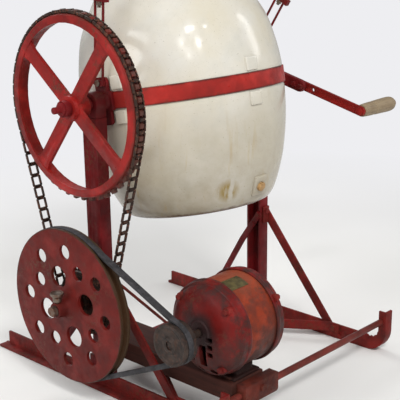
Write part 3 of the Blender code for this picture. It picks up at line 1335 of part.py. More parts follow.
def drive_pulley():
    bore = COUNTERSHAFT_RADIUS + SEAT_GAP
    hub, front, back = PULLEY_HUB_RADIUS, PULLEY_FRONT_FACE, PULLEY_BACK_FACE
    inner = PULLEY_RADIUS - PULLEY_RIM
    profile = [(-front, PULLEY_RADIUS)]
    profile += groove(PULLEY_RADIUS)
    profile += [
        (-back, PULLEY_RADIUS),
        (-back, inner),
        (-front + PULLEY_WEB, inner - PULLEY_LIP_INSET),
        (-front + PULLEY_WEB, hub),
        (-PULLEY_HUB_BACK, hub),
        (-PULLEY_HUB_BACK, bore),
        (-PULLEY_HUB_END, bore),
        (-PULLEY_HUB_END, hub),
        (-front, hub),
    ]
    body = turned("drive_pulley", profile, COUNTERSHAFT_LINE, "pulley_iron", PULLEY_STEPS)
    near, far = -front - OVERRUN, -front + PULLEY_WEB + OVERRUN

    def hole_ends(radius, turn):
        y, z = radius * math.cos(turn), radius * math.sin(turn)
        return ((near, y, z), (far, y, z))

    big, small = [], []
    for i in range(PULLEY_HOLE_SETS):
        turn = PULLEY_PHASE + PULLEY_TURN * i
        big.append(hole_ends(PULLEY_BIG_HOLE_PLACE, turn))
        small.append(hole_ends(PULLEY_DIAGONAL_HOLE_PLACE, turn + PULLEY_TURN / 2))
        small.append(hole_ends(PULLEY_OUTER_HOLE_PLACE, turn + PULLEY_OUTER_HOLE_TURN))
        small.append(hole_ends(PULLEY_OUTER_HOLE_PLACE, turn - PULLEY_OUTER_HOLE_TURN))
    cut(body, bars("pulley big holes", big, PULLEY_BIG_HOLE_RADIUS, COUNTERSHAFT_LINE, ROUND_STEPS))
    cut(body, bars("pulley small holes", small, PULLEY_SMALL_HOLE_RADIUS, COUNTERSHAFT_LINE, PIN_STEPS))
    screw_hole = bar(
        "set screw hole", (-SET_SCREW_PLACE, 0, 0), (-SET_SCREW_PLACE, 0, hub + OVERRUN),
        SET_SCREW_NECK_RADIUS + SEAT_GAP, COUNTERSHAFT_LINE, None, 16,
    )
    cut(body, screw_hole)


def pulley_set_screw():
    start = COUNTERSHAFT_RADIUS + SEAT_GAP
    neck_top = SET_SCREW_TOP - SET_SCREW_HEAD_HEIGHT
    place = -SET_SCREW_PLACE
    line = COUNTERSHAFT_LINE
    neck = (place, 0, start), (place, 0, neck_top + BITE)
    body = bar("pulley_set_screw", *neck, SET_SCREW_NECK_RADIUS, line, "bright_iron", 16)
    head = (place, 0, neck_top), (place, 0, SET_SCREW_TOP)
    join(body, bar("set screw head", *head, SET_SCREW_HEAD_RADIUS, line, None, 4))


def motor_pulley():
    bore = MOTOR_SHAFT_RADIUS + SEAT_GAP
    radius = MOTOR_PULLEY_RADIUS
    profile = [(-MOTOR_PULLEY_FRONT, bore), (-MOTOR_PULLEY_FRONT, radius)]
    profile += groove(radius)
    profile += [(-MOTOR_PULLEY_BACK, radius), (-MOTOR_PULLEY_BACK, bore)]
    turned("motor_pulley", profile, MOTOR_LINE, "pulley_iron", PULLEY_STEPS // 2)


def v_belt():
    first = Vector((0, 0, COUNTERSHAFT_HEIGHT))
    second = Vector((0, -MOTOR_PLACE, MOTOR_HEIGHT))
    reach = second - first
    facing = math.atan2(reach.z, reach.y)
    lean = math.acos((PULLEY_RADIUS - MOTOR_PULLEY_RADIUS) / reach.length)
    stations = []
    for centre, radius, start, end, steps in (
        (first, PULLEY_RADIUS, facing + lean, facing + 2 * math.pi - lean, BELT_BIG_STEPS),
        (second, MOTOR_PULLEY_RADIUS, facing - lean, facing + lean, BELT_SMALL_STEPS),
    ):
        for i in range(steps + 1):
            angle = start + (end - start) * i / steps
            out = Vector((0, math.cos(angle), math.sin(angle)))
            section = []
            for depth, sign in ((0, -1), (0, 1), (BELT_DEPTH, 1), (BELT_DEPTH, -1)):
                half = BELT_TOP_WIDTH / 2 - depth * math.tan(BELT_FLANK)
                level = radius + BELT_PROUD - depth
                section.append(centre + out * level + Vector((-BELT_CENTRE + sign * half, 0, 0)))
            stations.append(section)
    sweep("v_belt", stations, ORIGIN, "belt_rubber", closed=True)


# The motor
def boss_places():
    for i in range(BOSS_BOLTS):
        turn = BOSS_BOLT_PHASE + 2 * math.pi * i / BOSS_BOLTS
        yield turn, BOSS_BOLT_PLACE * math.cos(turn), BOSS_BOLT_PLACE * math.sin(turn)


def bell(name, face, outwards):
    """An end bell. The face meets the shell, and outwards is the sign of the dome's direction."""

    def at(depth, radius):
        return (-(face + outwards * depth), radius)

    bore = MOTOR_SHAFT_RADIUS + RUNNING_GAP
    profile = [at(-BELL_RIM_LAP, BELL_RIM_RADIUS)]
    profile += [at(depth, radius) for depth, radius in BELL_DOME]
    profile += [at(BELL_DOME[-1][0], BELL_HUB_RADIUS), at(BELL_HUB_FACE, BELL_HUB_RADIUS)]
    profile += [at(BELL_HUB_FACE, bore), at(BELL_INSIDE[0][0], bore)]
    profile += [at(depth, radius) for depth, radius in BELL_INSIDE]
    profile += [at(SEAT_GAP, BELL_INSIDE[-1][1]), at(SEAT_GAP, SHELL_RADIUS + SEAT_GAP)]
    profile += [at(-BELL_RIM_LAP, SHELL_RADIUS + SEAT_GAP)]
    body = turned(name, profile, MOTOR_LINE, "red_paint", MOTOR_STEPS)
    through = outwards * (BELL_HUB_FACE + OVERRUN)
    low, high = span(LEFT, face + min(0, through), face + max(0, through))
    sectors = []
    for i in range(BELL_WINDOWS):
        middle = BELL_WINDOW_PHASE + 2 * math.pi * i / BELL_WINDOWS
        a, b = middle - BELL_WINDOW_HALF_TURN, middle + BELL_WINDOW_HALF_TURN
        sector = arc(BELL_WINDOW_OUTER, a, b, BELL_WINDOW_STEPS)
        sectors.append(sector + arc(BELL_WINDOW_INNER, b, a, BELL_WINDOW_STEPS))
    cut(body, plate(f"{name} windows", sectors[0], low, high, MOTOR_LINE, None, sectors[1:]))
    for turn, y, z in boss_places():
        start = -(face + outwards * (SEAT_GAP + BITE))
        end = -(face + outwards * (BOSS_BOLT_LENGTH - BELL_RIM_LAP))
        boss = bar(f"{name} boss", (start, y, z), (end, y, z), BOSS_BOLT_RADIUS, MOTOR_LINE, None, 16)
        ends = (end + outwards * BITE, y, z), (end - outwards * BOLT_HEAD_HEIGHT, y, z)
        head = bar(f"{name} bolt head", *ends, BOSS_BOLT_HEAD, MOTOR_LINE, None, 6)
        join(body, boss, head)
    return body


def motor_shell():
    inner = SHELL_RADIUS - SHELL_WALL
    profile = [(-SHELL_FRONT, SHELL_RADIUS), (-SHELL_BACK, SHELL_RADIUS)]
    profile += [(-SHELL_BACK, inner), (-SHELL_FRONT, inner)]
    turned("motor_shell", profile, MOTOR_LINE, "red_paint", MOTOR_STEPS)


def motor_front_bell():
    body = bell("motor_front_bell", SHELL_FRONT, 1)
    # An ear for the stay rod stands on the rim.
    ear_low, ear_high = span(LEFT, SHELL_FRONT + BITE, SHELL_FRONT + STAY_EAR_FACE)
    centre = (STAY_BELL_REACH * math.cos(STAY_TURN), STAY_BELL_REACH * math.sin(STAY_TURN))
    ear = plate("stay ear", circle(STAY_EAR_RADIUS, 16, centre), ear_low, ear_high, MOTOR_LINE)
    join(body, ear)


def motor_rear_bell():
    bell("motor_rear_bell", SHELL_BACK, -1)


def motor_inside():
    front, back = SHELL_FRONT - ROTOR_INSET, SHELL_BACK + ROTOR_INSET
    bore = MOTOR_SHAFT_RADIUS + SEAT_GAP
    rotor = [(-front, bore), (-front, ROTOR_RADIUS), (-back, ROTOR_RADIUS), (-back, bore)]
    turned("motor_rotor", rotor, MOTOR_LINE, "bright_iron", MOTOR_STEPS)
    inner = ROTOR_RADIUS + AIR_GAP
    outer = SHELL_RADIUS - SHELL_WALL - SEAT_GAP
    front, back = SHELL_FRONT - STATOR_INSET, SHELL_BACK + STATOR_INSET
    stator = [(-front, inner), (-front, outer), (-back, outer), (-back, inner)]
    turned("motor_stator", stator, MOTOR_LINE, "winding", MOTOR_STEPS)
    shaft = [(-MOTOR_SHAFT_FRONT, 0), (-MOTOR_SHAFT_FRONT, MOTOR_SHAFT_RADIUS)]
    shaft += [(-MOTOR_SHAFT_BACK, MOTOR_SHAFT_RADIUS), (-MOTOR_SHAFT_BACK, 0)]
    turned("motor_shaft", shaft, MOTOR_LINE, "bright_iron")


def motor_base():
    middle = -(SHELL_FRONT + SHELL_BACK) / 2
    half_width, half_length = BASE_PLATE_WIDTH / 2, BASE_PLATE_LENGTH / 2
    body = box(
        "motor_base", (middle - half_width, -MOTOR_PLACE - half_length, BASE_BOTTOM),
        (middle + half_width, -MOTOR_PLACE + half_length, BASE_BOTTOM + BASE_PLATE_WALL), ORIGIN, "red_paint",
    )
    half_width, half_length = BASE_CRADLE_WIDTH / 2, BASE_CRADLE_LENGTH / 2
    cradle = box(
        "motor cradle", (middle - half_width, -MOTOR_PLACE - half_length, BASE_BOTTOM + BITE),
        (middle + half_width, -MOTOR_PLACE + half_length, BASE_BOTTOM + BASE_CRADLE_TOP), ORIGIN,
    )
    join(body, cradle)
    ends = [(x, -MOTOR_PLACE, MOTOR_HEIGHT) for x in (-SHELL_FRONT - OVERRUN, -SHELL_BACK + OVERRUN)]
    cut(body, bar("shell seat", *ends, SHELL_RADIUS + SEAT_GAP, ORIGIN, None, MOTOR_STEPS))


def nameplate():
    turn = NAMEPLATE_HALF_TURN * 2 / NAMEPLATE_STEPS
    inner = SHELL_RADIUS + SEAT_GAP
    outer = inner + NAMEPLATE_WALL
    stations = []
    for i in range(NAMEPLATE_STEPS + 1):
        angle = NAMEPLATE_TURN - NAMEPLATE_HALF_TURN + turn * i
        section = []
        for radius, sign in ((inner, -1), (outer, -1), (outer, 1), (inner, 1)):
            x = -NAMEPLATE_PLACE + sign * NAMEPLATE_LENGTH / 2
            section.append(Vector((x, radius * math.cos(angle), radius * math.sin(angle))))
        stations.append(section)
    sweep("nameplate", stations, MOTOR_LINE, "brass_plate")


# What carries the motor
def motor_board():
    low = (-BOARD_OUTER_FACE, -BOARD_FRONT, BOARD_BOTTOM)
    high = (-BOARD_INNER_FACE, BOARD_BACK, BOARD_TOP)
    box("motor_board", low, high, ORIGIN, "dark_wood")


def board_clamp():
    """An iron shoe that ties the front end of the board to the front rod."""
    back = -BOARD_FRONT - SEAT_GAP
    front = -CLAMP_FRONT
    corner = CLAMP_CORNER
    lip_top = BOARD_BOTTOM - SEAT_GAP
    outline = [(back, CLAMP_TOP), (front, CLAMP_TOP)]
    outline += arc(corner, math.pi, 3 * math.pi / 2, 4, (front + corner, CLAMP_BOTTOM + corner))
    outline += [(back + CLAMP_LIP, CLAMP_BOTTOM), (back + CLAMP_LIP, lip_top), (back, lip_top)]
    hole = circle(FRONT_ROD_RADIUS + SEAT_GAP, ROUND_STEPS, (-FRONT_ROD_PLACE, FRONT_ROD_HEIGHT))
    low, high = span(LEFT, CLAMP_INNER_FACE, CLAMP_OUTER_FACE)
    body = plate("board_clamp", outline, low, high, ORIGIN, "red_paint", [hole])
    middle = -(CLAMP_INNER_FACE + CLAMP_OUTER_FACE) / 2
    height = CLAMP_TOP - BOLT_HEAD_RADIUS * 2
    join(body, bolt_head("clamp bolt", (middle, front, height), (0, -1, 0), ORIGIN))


def stay_rod():
    """A thin rod that steadies the motor from the left post."""
    y = -MOTOR_PLACE + STAY_BELL_REACH * math.cos(STAY_TURN)
    z = MOTOR_HEIGHT + STAY_BELL_REACH * math.sin(STAY_TURN)
    eye_back = SHELL_FRONT + STAY_EAR_FACE + SEAT_GAP
    eye_front = eye_back + STAY_EYE_WALL
    low, high = span(LEFT, eye_back, eye_front)
    body = plate("stay_rod", circle(STAY_EAR_RADIUS, 16, (y, z)), low, high, ORIGIN, "bright_iron")
    face = -POST_WIDTH / 2 - 2 * SEAT_GAP - FRONT_BRACE_WALL
    half = STAY_TAB_HALF
    tab = box(
        "stay tab", (-STAY_ROD_PLACE - half, face - STAY_TAB_WALL, STAY_ROD_TOP - half),
        (-STAY_ROD_PLACE + half, face, STAY_ROD_TOP + half), ORIGIN,
    )
    start = (-STAY_ROD_PLACE, face - STAY_TAB_WALL / 2, STAY_ROD_TOP)
    rod_end = (-eye_back - STAY_ROD_IN_EYE, y, z)
    rod = bar("stay bar", start, rod_end, STAY_ROD_RADIUS, ORIGIN, None, 12)
    head = bolt_head("stay bolt", (-eye_front, y, z), (-1, 0, 0), ORIGIN, BOLT_HEAD_RADIUS * SMALL_HEAD)
    join(body, tab, rod, head)


# The hand crank
def crank_frame():
    return axis_empty("crank_line", TRUNNION_LINE, (0, 0, 0), (CRANK_DROP, 0, 0))


def crank_socket(frame):
    bore = SHAFT_RADIUS + SEAT_GAP
    inner, outer = SOCKET_INNER_FACE, SOCKET_OUTER_FACE
    body = bar("crank_socket", (inner, 0, 0), (outer, 0, 0), SOCKET_RADIUS, frame, "dark_paint")
    half = SOCKET_ARM_WIDTH / 2
    outline = [(0, -half), (0, half), (-SOCKET_ARM_END + half, half)]
    outline += arc(half, math.pi / 2, 3 * math.pi / 2, 6, (-SOCKET_ARM_END + half, 0))[1:-1]
    outline += [(-SOCKET_ARM_END + half, -half)]
    face = CRANK_BAR_FACE - SEAT_GAP
    join(body, plate("socket arm", outline, SOCKET_ARM_INNER, face, frame))
    for place in CRANK_BOLT_PLACES:
        radius = BOLT_HEAD_RADIUS * SMALL_HEAD
        join(body, bolt_head("socket nut", (SOCKET_ARM_INNER, -place, 0), (-1, 0, 0), frame, radius))
    cut(body, bar("socket bore", (inner - OVERRUN, 0, 0), (outer + OVERRUN, 0, 0), bore, frame))


def crank_arm(frame):
    half = CRANK_BAR_WIDTH / 2
    start, end = CRANK_BAR_START, CRANK_BAR_END
    outline = [(-start, -half), (-start, half), (-end + half, half)]
    outline += arc(half, math.pi / 2, 3 * math.pi / 2, 8, (-end + half, 0))[1:-1]
    outline += [(-end + half, -half)]
    holes = [
        circle(BOLT_RADIUS, 16, (-CRANK_HOLE_PLACE, 0)),
        circle(HANDLE_PIN_RADIUS + SEAT_GAP, 16, (-HANDLE_ARM, 0)),
    ]
    high = CRANK_BAR_FACE + CRANK_BAR_THICKNESS
    body = plate("crank_arm", outline, CRANK_BAR_FACE, high, frame, "red_paint", holes)
    for place in CRANK_BOLT_PLACES:
        radius = BOLT_HEAD_RADIUS * SMALL_HEAD
        join(body, bolt_head("arm bolt", (high, -place, 0), (1, 0, 0), frame, radius))


def handle(frame):
    axis = axis_empty("handle_line", frame, (0, -HANDLE_ARM, 0))
    inner_head = CRANK_BAR_FACE - RUNNING_GAP
    outer_head = HANDLE_OUTER_END + RUNNING_GAP
    profile = [
        (inner_head - HANDLE_PIN_HEAD_HEIGHT, 0),
        (inner_head - HANDLE_PIN_HEAD_HEIGHT, HANDLE_PIN_HEAD),
        (inner_head, HANDLE_PIN_HEAD),
        (inner_head, HANDLE_PIN_RADIUS),
        (outer_head, HANDLE_PIN_RADIUS),
        (outer_head, HANDLE_PIN_HEAD),
        (outer_head + HANDLE_PIN_HEAD_HEIGHT, HANDLE_PIN_HEAD),
        (outer_head + HANDLE_PIN_HEAD_HEIGHT, 0),
    ]
    turned("handle_pin", profile, axis, "bright_iron", 16)
    bore = HANDLE_PIN_RADIUS + RUNNING_GAP
    near, far, length = HANDLE_INNER_FACE, HANDLE_OUTER_END, HANDLE_LENGTH
    neck = HANDLE_NECK_RADIUS
    grip = [(near, bore), (near, neck), (near + length * GRIP_NECK_SHARE, neck)]
    grip += [(near + length * place, HANDLE_RADIUS * wide) for place, wide in GRIP_BELLY_SHARES]
    grip += [(far, neck), (far, bore)]
    turned("handle_grip", grip, axis, "grey_wood")


def build():
    jar()
    drain_plug()
    half_hoop("rear_hoop", True)
    half_hoop("front_hoop", False)
    lid()
    for side in (LEFT, RIGHT):
        gudgeon(side)
        link_pin(side)
        bearing(side)
        post(side)
        runner(side)
        front_brace(side)
        rear_brace(side)
        knee(side)
    link_and_screw(LEFT, LEFT_LINK_LEAN)
    link_and_screw(RIGHT, RIGHT_LINK_LEAN)
    cross_bar()
    front_rod()
    sprocket_wheel()
    wheel_collar()
    drive_chain()
    countershaft()
    countershaft_bracket()
    small_sprocket()
    drive_pulley()
    pulley_set_screw()
    v_belt()
    motor_pulley()
    motor_shell()
    motor_front_bell()
    motor_rear_bell()
    motor_inside()
    motor_base()
    nameplate()
    motor_board()
    board_clamp()
    stay_rod()
    frame = crank_frame()
    crank_socket(frame)
    crank_arm(frame)
    handle(frame)


build()
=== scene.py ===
"""A tumbling stoneware churn with its hand crank, chain wheel and belt motor.

Run as a script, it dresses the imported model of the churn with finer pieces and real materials.
"""

import json
import math

import bmesh
import bpy
from bpy.props import FloatProperty, IntProperty, StringProperty
from mathutils import Matrix, Vector


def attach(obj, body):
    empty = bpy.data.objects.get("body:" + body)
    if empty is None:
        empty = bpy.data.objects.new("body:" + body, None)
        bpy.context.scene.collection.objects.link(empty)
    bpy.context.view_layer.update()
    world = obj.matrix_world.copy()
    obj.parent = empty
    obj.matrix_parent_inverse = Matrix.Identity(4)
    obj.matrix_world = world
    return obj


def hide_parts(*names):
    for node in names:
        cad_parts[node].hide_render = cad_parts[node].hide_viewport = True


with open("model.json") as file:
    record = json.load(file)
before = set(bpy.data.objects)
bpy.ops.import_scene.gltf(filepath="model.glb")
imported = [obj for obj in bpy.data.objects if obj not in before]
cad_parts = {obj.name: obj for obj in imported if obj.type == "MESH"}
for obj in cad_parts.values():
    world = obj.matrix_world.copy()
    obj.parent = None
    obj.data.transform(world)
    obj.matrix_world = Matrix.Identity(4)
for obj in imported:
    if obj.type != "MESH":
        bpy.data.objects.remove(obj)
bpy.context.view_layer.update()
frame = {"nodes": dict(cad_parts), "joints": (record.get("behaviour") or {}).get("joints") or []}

bl_info = {
    "name": "Tumbling butter churn",
    "version": (1, 0, 0),
    "blender": (4, 5, 0),
    "location": "View3D > Sidebar > Churn",
    "description": "Builds the fine pieces and materials of a stoneware churn round its packed frame",
    "category": "Object",
}

# The joints' lines, each with its point in the churn's middle plane
JOINTS = {joint["name"]: joint for joint in frame["joints"]}
TRUNNION = Vector(JOINTS["churn_spin"]["pos_m"])
SPINS = ("countershaft_spin", "motor_spin", "handle_spin")
COUNTERSHAFT, MOTOR, HANDLE = (Vector((TRUNNION.x, *JOINTS[spin]["pos_m"][1:])) for spin in SPINS)
JAR_UP = Vector(JOINTS["lid_lift"]["axis"])
JAR_TILT = math.atan2(JAR_UP.y, JAR_UP.z)
JAR_FRAME = Matrix.Translation(TRUNNION) @ Matrix.Rotation(-JAR_TILT, 4, "X")
ALONG_X = Matrix.Rotation(math.pi / 2, 4, "Y")
FULL_TURN = 2 * math.pi
SIDES = ("left", "right")

# Fits and bores
MERGE = 0.00001
SEAT_GAP = 0.0003
CORNER = 0.0012
HOOP_RELIEF = 0.0006
HOOP_SPLIT = 0.0012
COUNTERSHAFT_BORE = 0.0103
MOTOR_SHAFT_BORE = 0.0083
HANDLE_PIN_BORE = 0.0048
BELT_FLANK = math.radians(17)
BELT_PROUD = 0.001

# The jar's outline as (height, radius), from its foot up, in its own frame
JAR_SIDE = (
    (-0.246, 0.143), (-0.242, 0.150), (-0.228, 0.1605), (-0.203, 0.1725), (-0.165, 0.1865), (-0.120, 0.1975),
    (-0.075, 0.205), (-0.030, 0.2084), (0.0, 0.2088), (0.030, 0.2082), (0.070, 0.203), (0.120, 0.191),
    (0.165, 0.169), (0.210, 0.143), (0.240, 0.128),
)
JAR_NECK_INSIDE = ((0.235, 0.101), (0.21, 0.128))
JAR_FLOOR_INSIDE = ((-0.212, 0.147), (-0.226, 0.134))
JAR_WALL_REACH = 0.20
JAR_FOOT_RADII = (0.0, 0.132, 0.1385)
JAR_FLOOR_RADIUS = 0.115
JAR_RIM_TOP = 0.262
JAR_RIM_LIP = 0.006
JAR_RIM_ROUNDING = 0.004
JAR_RIM_RADIUS = 0.125
JAR_MOUTH_RADIUS = 0.102
LUG_SINK = 0.012
LUG_ROOT = 0.2085
LUG_EDGE = 0.0035
LUG_GAP = 0.003
SIDE_LUG_TURNS = (9.2, -9.2, 170.8, 189.2)
FRONT_LUG_TURNS = (86, 266)
DRAIN_HEIGHT = -0.208
DRAIN_TURN = math.radians(-89)
DRAIN_SLOPE_ENDS = (-0.227, -0.204)
DRAIN_SINK = 0.010
BUNG_PROUD = (0.0095, 0.0105)
DRIP_HEIGHT = -0.205
DRIP_BESIDE_DRAIN = math.radians(26)

# The sealing ring, and the lid as (height, radius) from its seat on that ring
GASKET_THICKNESS = 0.004
GASKET_RADII = (0.103, 0.1245)
LID_DOME = ((0.020, 0.0), (0.0194, 0.05), (0.017, 0.066), (0.010, 0.088), (0.004, 0.1025))
LID_UNDERSIDE = (
    (0.004, 0.127), (0.0, 0.127), (0.0, 0.0985), (-0.014, 0.0985), (-0.014, 0.0945), (0.0, 0.0945),
    (0.014, 0.066), (0.016, 0.0),
)

# The chain's links: side bars, end bar and hook
CHAIN_BAR_INSET = 0.0017
CHAIN_BAR_WIDTH = 0.0032
CHAIN_BAR_HEIGHT = 0.0056
CHAIN_BAR_GAP = 0.0012
CHAIN_END_RADIUS = 0.0019
CHAIN_HOOK_INSET = 0.0048
CHAIN_HOOK_RADII = (0.0022, 0.0040)
CHAIN_HOOK_START = math.radians(-60)
CHAIN_HOOK_TURN = math.radians(250)
CHAIN_HOOK_STEPS = 7

# The pulleys. The hub's flare is (reach in front of the face, rise over the hub), a hole (place, turn,
# radius) and its lip how much wider it starts and ends, between two depths behind the face.
GROOVE_FLOOR_GAP = 0.0015
MOTOR_PULLEY_ENDS = (0.338, 0.306)
MOTOR_PULLEY_DISH = 0.0025
MOTOR_PULLEY_HUB = (0.015, 0.0175)
MOTOR_PULLEY_RIM = (0.008, 0.005)
PULLEY_WEB = 0.0065
PULLEY_RIM_WALLS = (0.007, 0.0155, 0.0165, 0.019)
PULLEY_HUB_RADIUS = 0.016
PULLEY_HUB_ENDS = (0.304, 0.362)
PULLEY_HUB_FLARE = ((0.018, 0.0), (0.009, 0.0015), (0.004, 0.0055), (0.001, 0.013), (0.0, 0.021))
PULLEY_FIRST_HOLE = 72
HOLE_LIP = (0.0032, -0.0006)
HOLE_LIP_DEPTHS = (-0.0025, 0.0021)
PULLEY_HOLES = ((0.061, 0, 0.0218), (0.086, 45, 0.0145), (0.113, 19.5, 0.0145), (0.113, -19.5, 0.0145))
SET_SCREW_PLACE = 0.355
SET_SCREW_HOLE = 0.0043
# The set screw's head is a wide flat cup, worn round: (height, radius) from the shaft out.
SET_SCREW = (
    (0.0103, 0.0), (0.0103, 0.004), (0.0168, 0.004), (0.0172, 0.0082), (0.0265, 0.0088), (0.0300, 0.0124),
    (0.0335, 0.0135), (0.036, 0.0130), (0.036, 0.0105), (0.0348, 0.0085), (0.0344, 0.0),
)

# The motor's bells as (depth in front of the shell's end, radius). A narrow rim laps over the shell, and
# then come a straight band, a step and the dome. The rim gives how far it lies inside the bell's radius.
BELL_RIM = (
    (-0.005, 0.0012), (-0.003, 0.0), (0.002, 0.0), (0.004, 0.002), (0.0150, 0.0025), (0.0168, 0.0045),
    (0.0172, 0.0068),
)
BELL_DOME = ((0.0172, 0.0855), (0.0225, 0.0815), (0.030, 0.072), (0.0350, 0.058), (0.0370, 0.040))
BELL_HUB = ((0.037, 0.0245), (0.0395, 0.0225), (0.040, 0.0215), (0.040, 0.0083))
BELL_INSIDE = (
    (0.028, 0.0083), (0.028, 0.040), (0.024, 0.060), (0.012, 0.076), (0.004, 0.080), (0.0003, 0.080),
)
BELL_LAP = 0.005
BELL_OPENING_DEPTH = 0.05
# Two upright openings and three louvres below the hub, as (across, up, width, height)
BELL_OPENINGS = (
    (-0.0065, -0.0450, 0.017, 0.042), (0.0225, -0.040, 0.0135, 0.044), (-0.0245, -0.009, 0.0135, 0.0098),
    (-0.0245, -0.024, 0.0135, 0.0098), (-0.0245, -0.039, 0.0135, 0.0098),
)
BELL_DRAIN_TURNS = (-83, -106)
BELL_DRAIN_PLACE = 0.0805
BELL_DRAIN_RADIUS = 0.0066
BELL_DRAIN_DEPTHS = (0.0105, 0.0405)
BOSS_RADII = (0.0085, 0.0078)
WASHER = (0.0070, 0.001)
NUT = (0.0058, 0.0058)
# Bolts of each bell: turns, distance from the middle, and the boss's two depths
FRONT_BOLTS = ((42, 137, 236, 308), 0.0785, (0.010, 0.0285))
REAR_BOLTS = ((26, 146, 266), 0.0915, (0.0011, 0.008))

# The grip as shares of its length and of its largest radius
GRIP_START = 0.2838
GRIP_LENGTH = 0.117
GRIP_SHARES = (
    (0.0, 0.84), (0.04, 0.90), (0.16, 0.95), (0.30, 0.98), (0.34, 0.92), (0.38, 0.99), (0.60, 1.04),
    (0.80, 1.07), (0.90, 1.03), (0.95, 0.93), (0.985, 0.76), (1.0, 0.56),
)

# The camera, placed from the trunnions
CAMERA_PLACE = TRUNNION + Vector((-1.505, -1.480, 0.3753))
CAMERA_DOWN = math.radians(18.598)
CAMERA_TURN = math.radians(48.694)
CAMERA_SHIFT = (-0.1, 0.1)

# Lamps as (name, place, target, size, power), and small bright panes as (across, height, width)
LAMPS = (
    ("fill", (-2.6, 0.4, 1.6), (0, 0, 0.4), (1.2, 1.4), 22),
    ("side", (2.2, -1.6, 1.9), (0, 0, 0.5), (0.5, 1.4), 9),
    ("back", (0.8, 2.4, 2.4), (0, 0, 0.5), (1.6, 1.0), 30),
)
PANES = ((-1.3, 3.0, 0.42), (-2.1, 2.5, 0.20), (-1.6, 2.0, 0.17), (-0.9, 2.1, 0.20), (-0.3, 2.7, 0.17))


def length(label, size, words):
    return FloatProperty(name=label, description=words, default=size, min=0, precision=5, unit="LENGTH")


def count(label, number, words):
    return IntProperty(name=label, description=words, default=number, min=3)


def colour(label, code, words):
    return StringProperty(name=label, description=words, default=code)


class ChurnSizes(bpy.types.PropertyGroup):
    """Sizes that a user of the churn would change."""

    jar_wall: length("Jar wall", 0.015, "Thickness of the stoneware")
    jar_steps: count("Jar steps", 128, "Steps round the jar and its lid")
    hoop_seat: length("Hoop seat", 0.2075, "Radius of the jar under the hoop")
    hoop_wall: length("Hoop wall", 0.0035, "Thickness of the hoop")
    hoop_height: length("Hoop height", 0.033, "Width of the hoop's strap")
    lug_width: length("Lug width", 0.027, "Width of a lug beside a trunnion")
    front_lug_width: length("Front lug width", 0.030, "Width of the lugs at the front and back")
    lug_height: length("Lug height", 0.027, "Height of a lug")
    lug_proud: length("Lug rise", 0.0045, "How far a lug stands off the jar")
    drain_pad_width: length("Drain pad width", 0.036, "Width of the pad round the drain hole")
    drain_pad_height: length("Drain pad height", 0.044, "Height of that pad")
    drain_pad_proud: length("Drain pad rise", 0.004, "How far that pad stands off the jar")
    drain_radius: length("Drain bung radius", 0.0095, "Radius of the bung in the drain hole")
    chain_pitch: length("Chain pitch", 0.023, "Distance between two joints of the chain")
    chain_width: length("Chain width", 0.021, "Width of the chain over its side bars")
    chain_centre: length("Chain place", 0.284, "Distance of the chain from the middle of the churn")
    wheel_teeth: count("Wheel teeth", 48, "Teeth on the big chain wheel")
    sprocket_teeth: count("Sprocket teeth", 18, "Teeth on the small sprocket")
    pulley_radius: length("Pulley radius", 0.157, "Outer radius of the drive pulley")
    pulley_front: length("Pulley front", 0.334, "Distance of the pulley's front from the middle")
    pulley_back: length("Pulley back", 0.310, "Distance of the pulley's back from the middle")
    pulley_steps: count("Pulley steps", 128, "Steps round the drive pulley")
    motor_pulley_radius: length("Motor pulley radius", 0.040, "Outer radius of the motor's pulley")
    belt_centre: length("Belt place", 0.322, "Distance of the belt from the middle")
    belt_width: length("Belt width", 0.013, "Width of the belt's back")
    belt_depth: length("Belt depth", 0.009, "Depth of the belt")
    shell_radius: length("Motor radius", 0.088, "Outer radius of the motor's shell")
    shell_front: length("Motor front", 0.222, "Distance of the shell's front from the middle")
    shell_back: length("Motor back", 0.140, "Distance of the shell's back from the middle")
    bell_radius: length("Bell radius", 0.0925, "Radius of the motor's end bells")
    motor_steps: count("Motor steps", 96, "Steps round the motor")
    grip_radius: length("Grip radius", 0.015, "Largest radius of the wooden grip")
    camera_lens: FloatProperty(name="Camera lens", description="Focal length in mm", default=92.41)


class ChurnColours(bpy.types.PropertyGroup):
    """Colours as sRGB hex values."""

    red_paint: colour("Red paint", "951D19", "Oil paint on the wheels, straps and bars")
    bar_paint: colour("Bar paint", "7C2420", "Duller paint on the runners and braces")
    pulley_paint: colour("Pulley paint", "6C1B16", "Older, darker paint on the drive pulley")
    hoop_paint: colour("Hoop paint", "A22A24", "The hoop's fresher paint")
    shade_paint: colour("Dark paint", "74171A", "Maroon paint on the posts and bearings")
    motor_paint: colour("Motor paint", "98391F", "Orange red paint on the motor's shell")
    bell_paint: colour("End bell paint", "741714", "Glossier red paint on the motor's end bells")
    rust: colour("Rust", "5B3324", "Rust and old primer where paint has gone")
    grime: colour("Grime", "2B2220", "Oily dirt in corners")
    glaze: colour("Glaze", "D0CCC2", "Cream salt glaze")
    glaze_stain: colour("Glaze stain", "A98F5B", "Ochre stains low on the jar")
    iron: colour("Iron", "4E372B", "Bare greasy chain iron")
    steel: colour("Steel", "7C7166", "Worn bare steel")
    tin: colour("Tin", "B9B7B0", "Tinned lid")
    belt: colour("Belt", "454346", "Dusty belt")
    seal: colour("Seal", "8A3A2C", "Red rubber seal")
    grip: colour("Grip wood", "927F63", "Grey hardwood of the grip")
    board: colour("Board wood", "47261F", "Oily board under the motor")
    plate: colour("Plate", "7B7048", "Dull brass nameplate")
    bung: colour("Bung", "C19862", "Wood of the drain bung")
    copper: colour("Windings", "6B3A1E", "Varnished copper windings")
    floor: colour("Floor", "F3F2EF", "Floor")
    backdrop: colour("Backdrop", "EEEEF1", "Wall behind, and the floor far away")


def sizes():
    return bpy.context.scene.churn_sizes


def colours():
    return bpy.context.scene.churn_colours


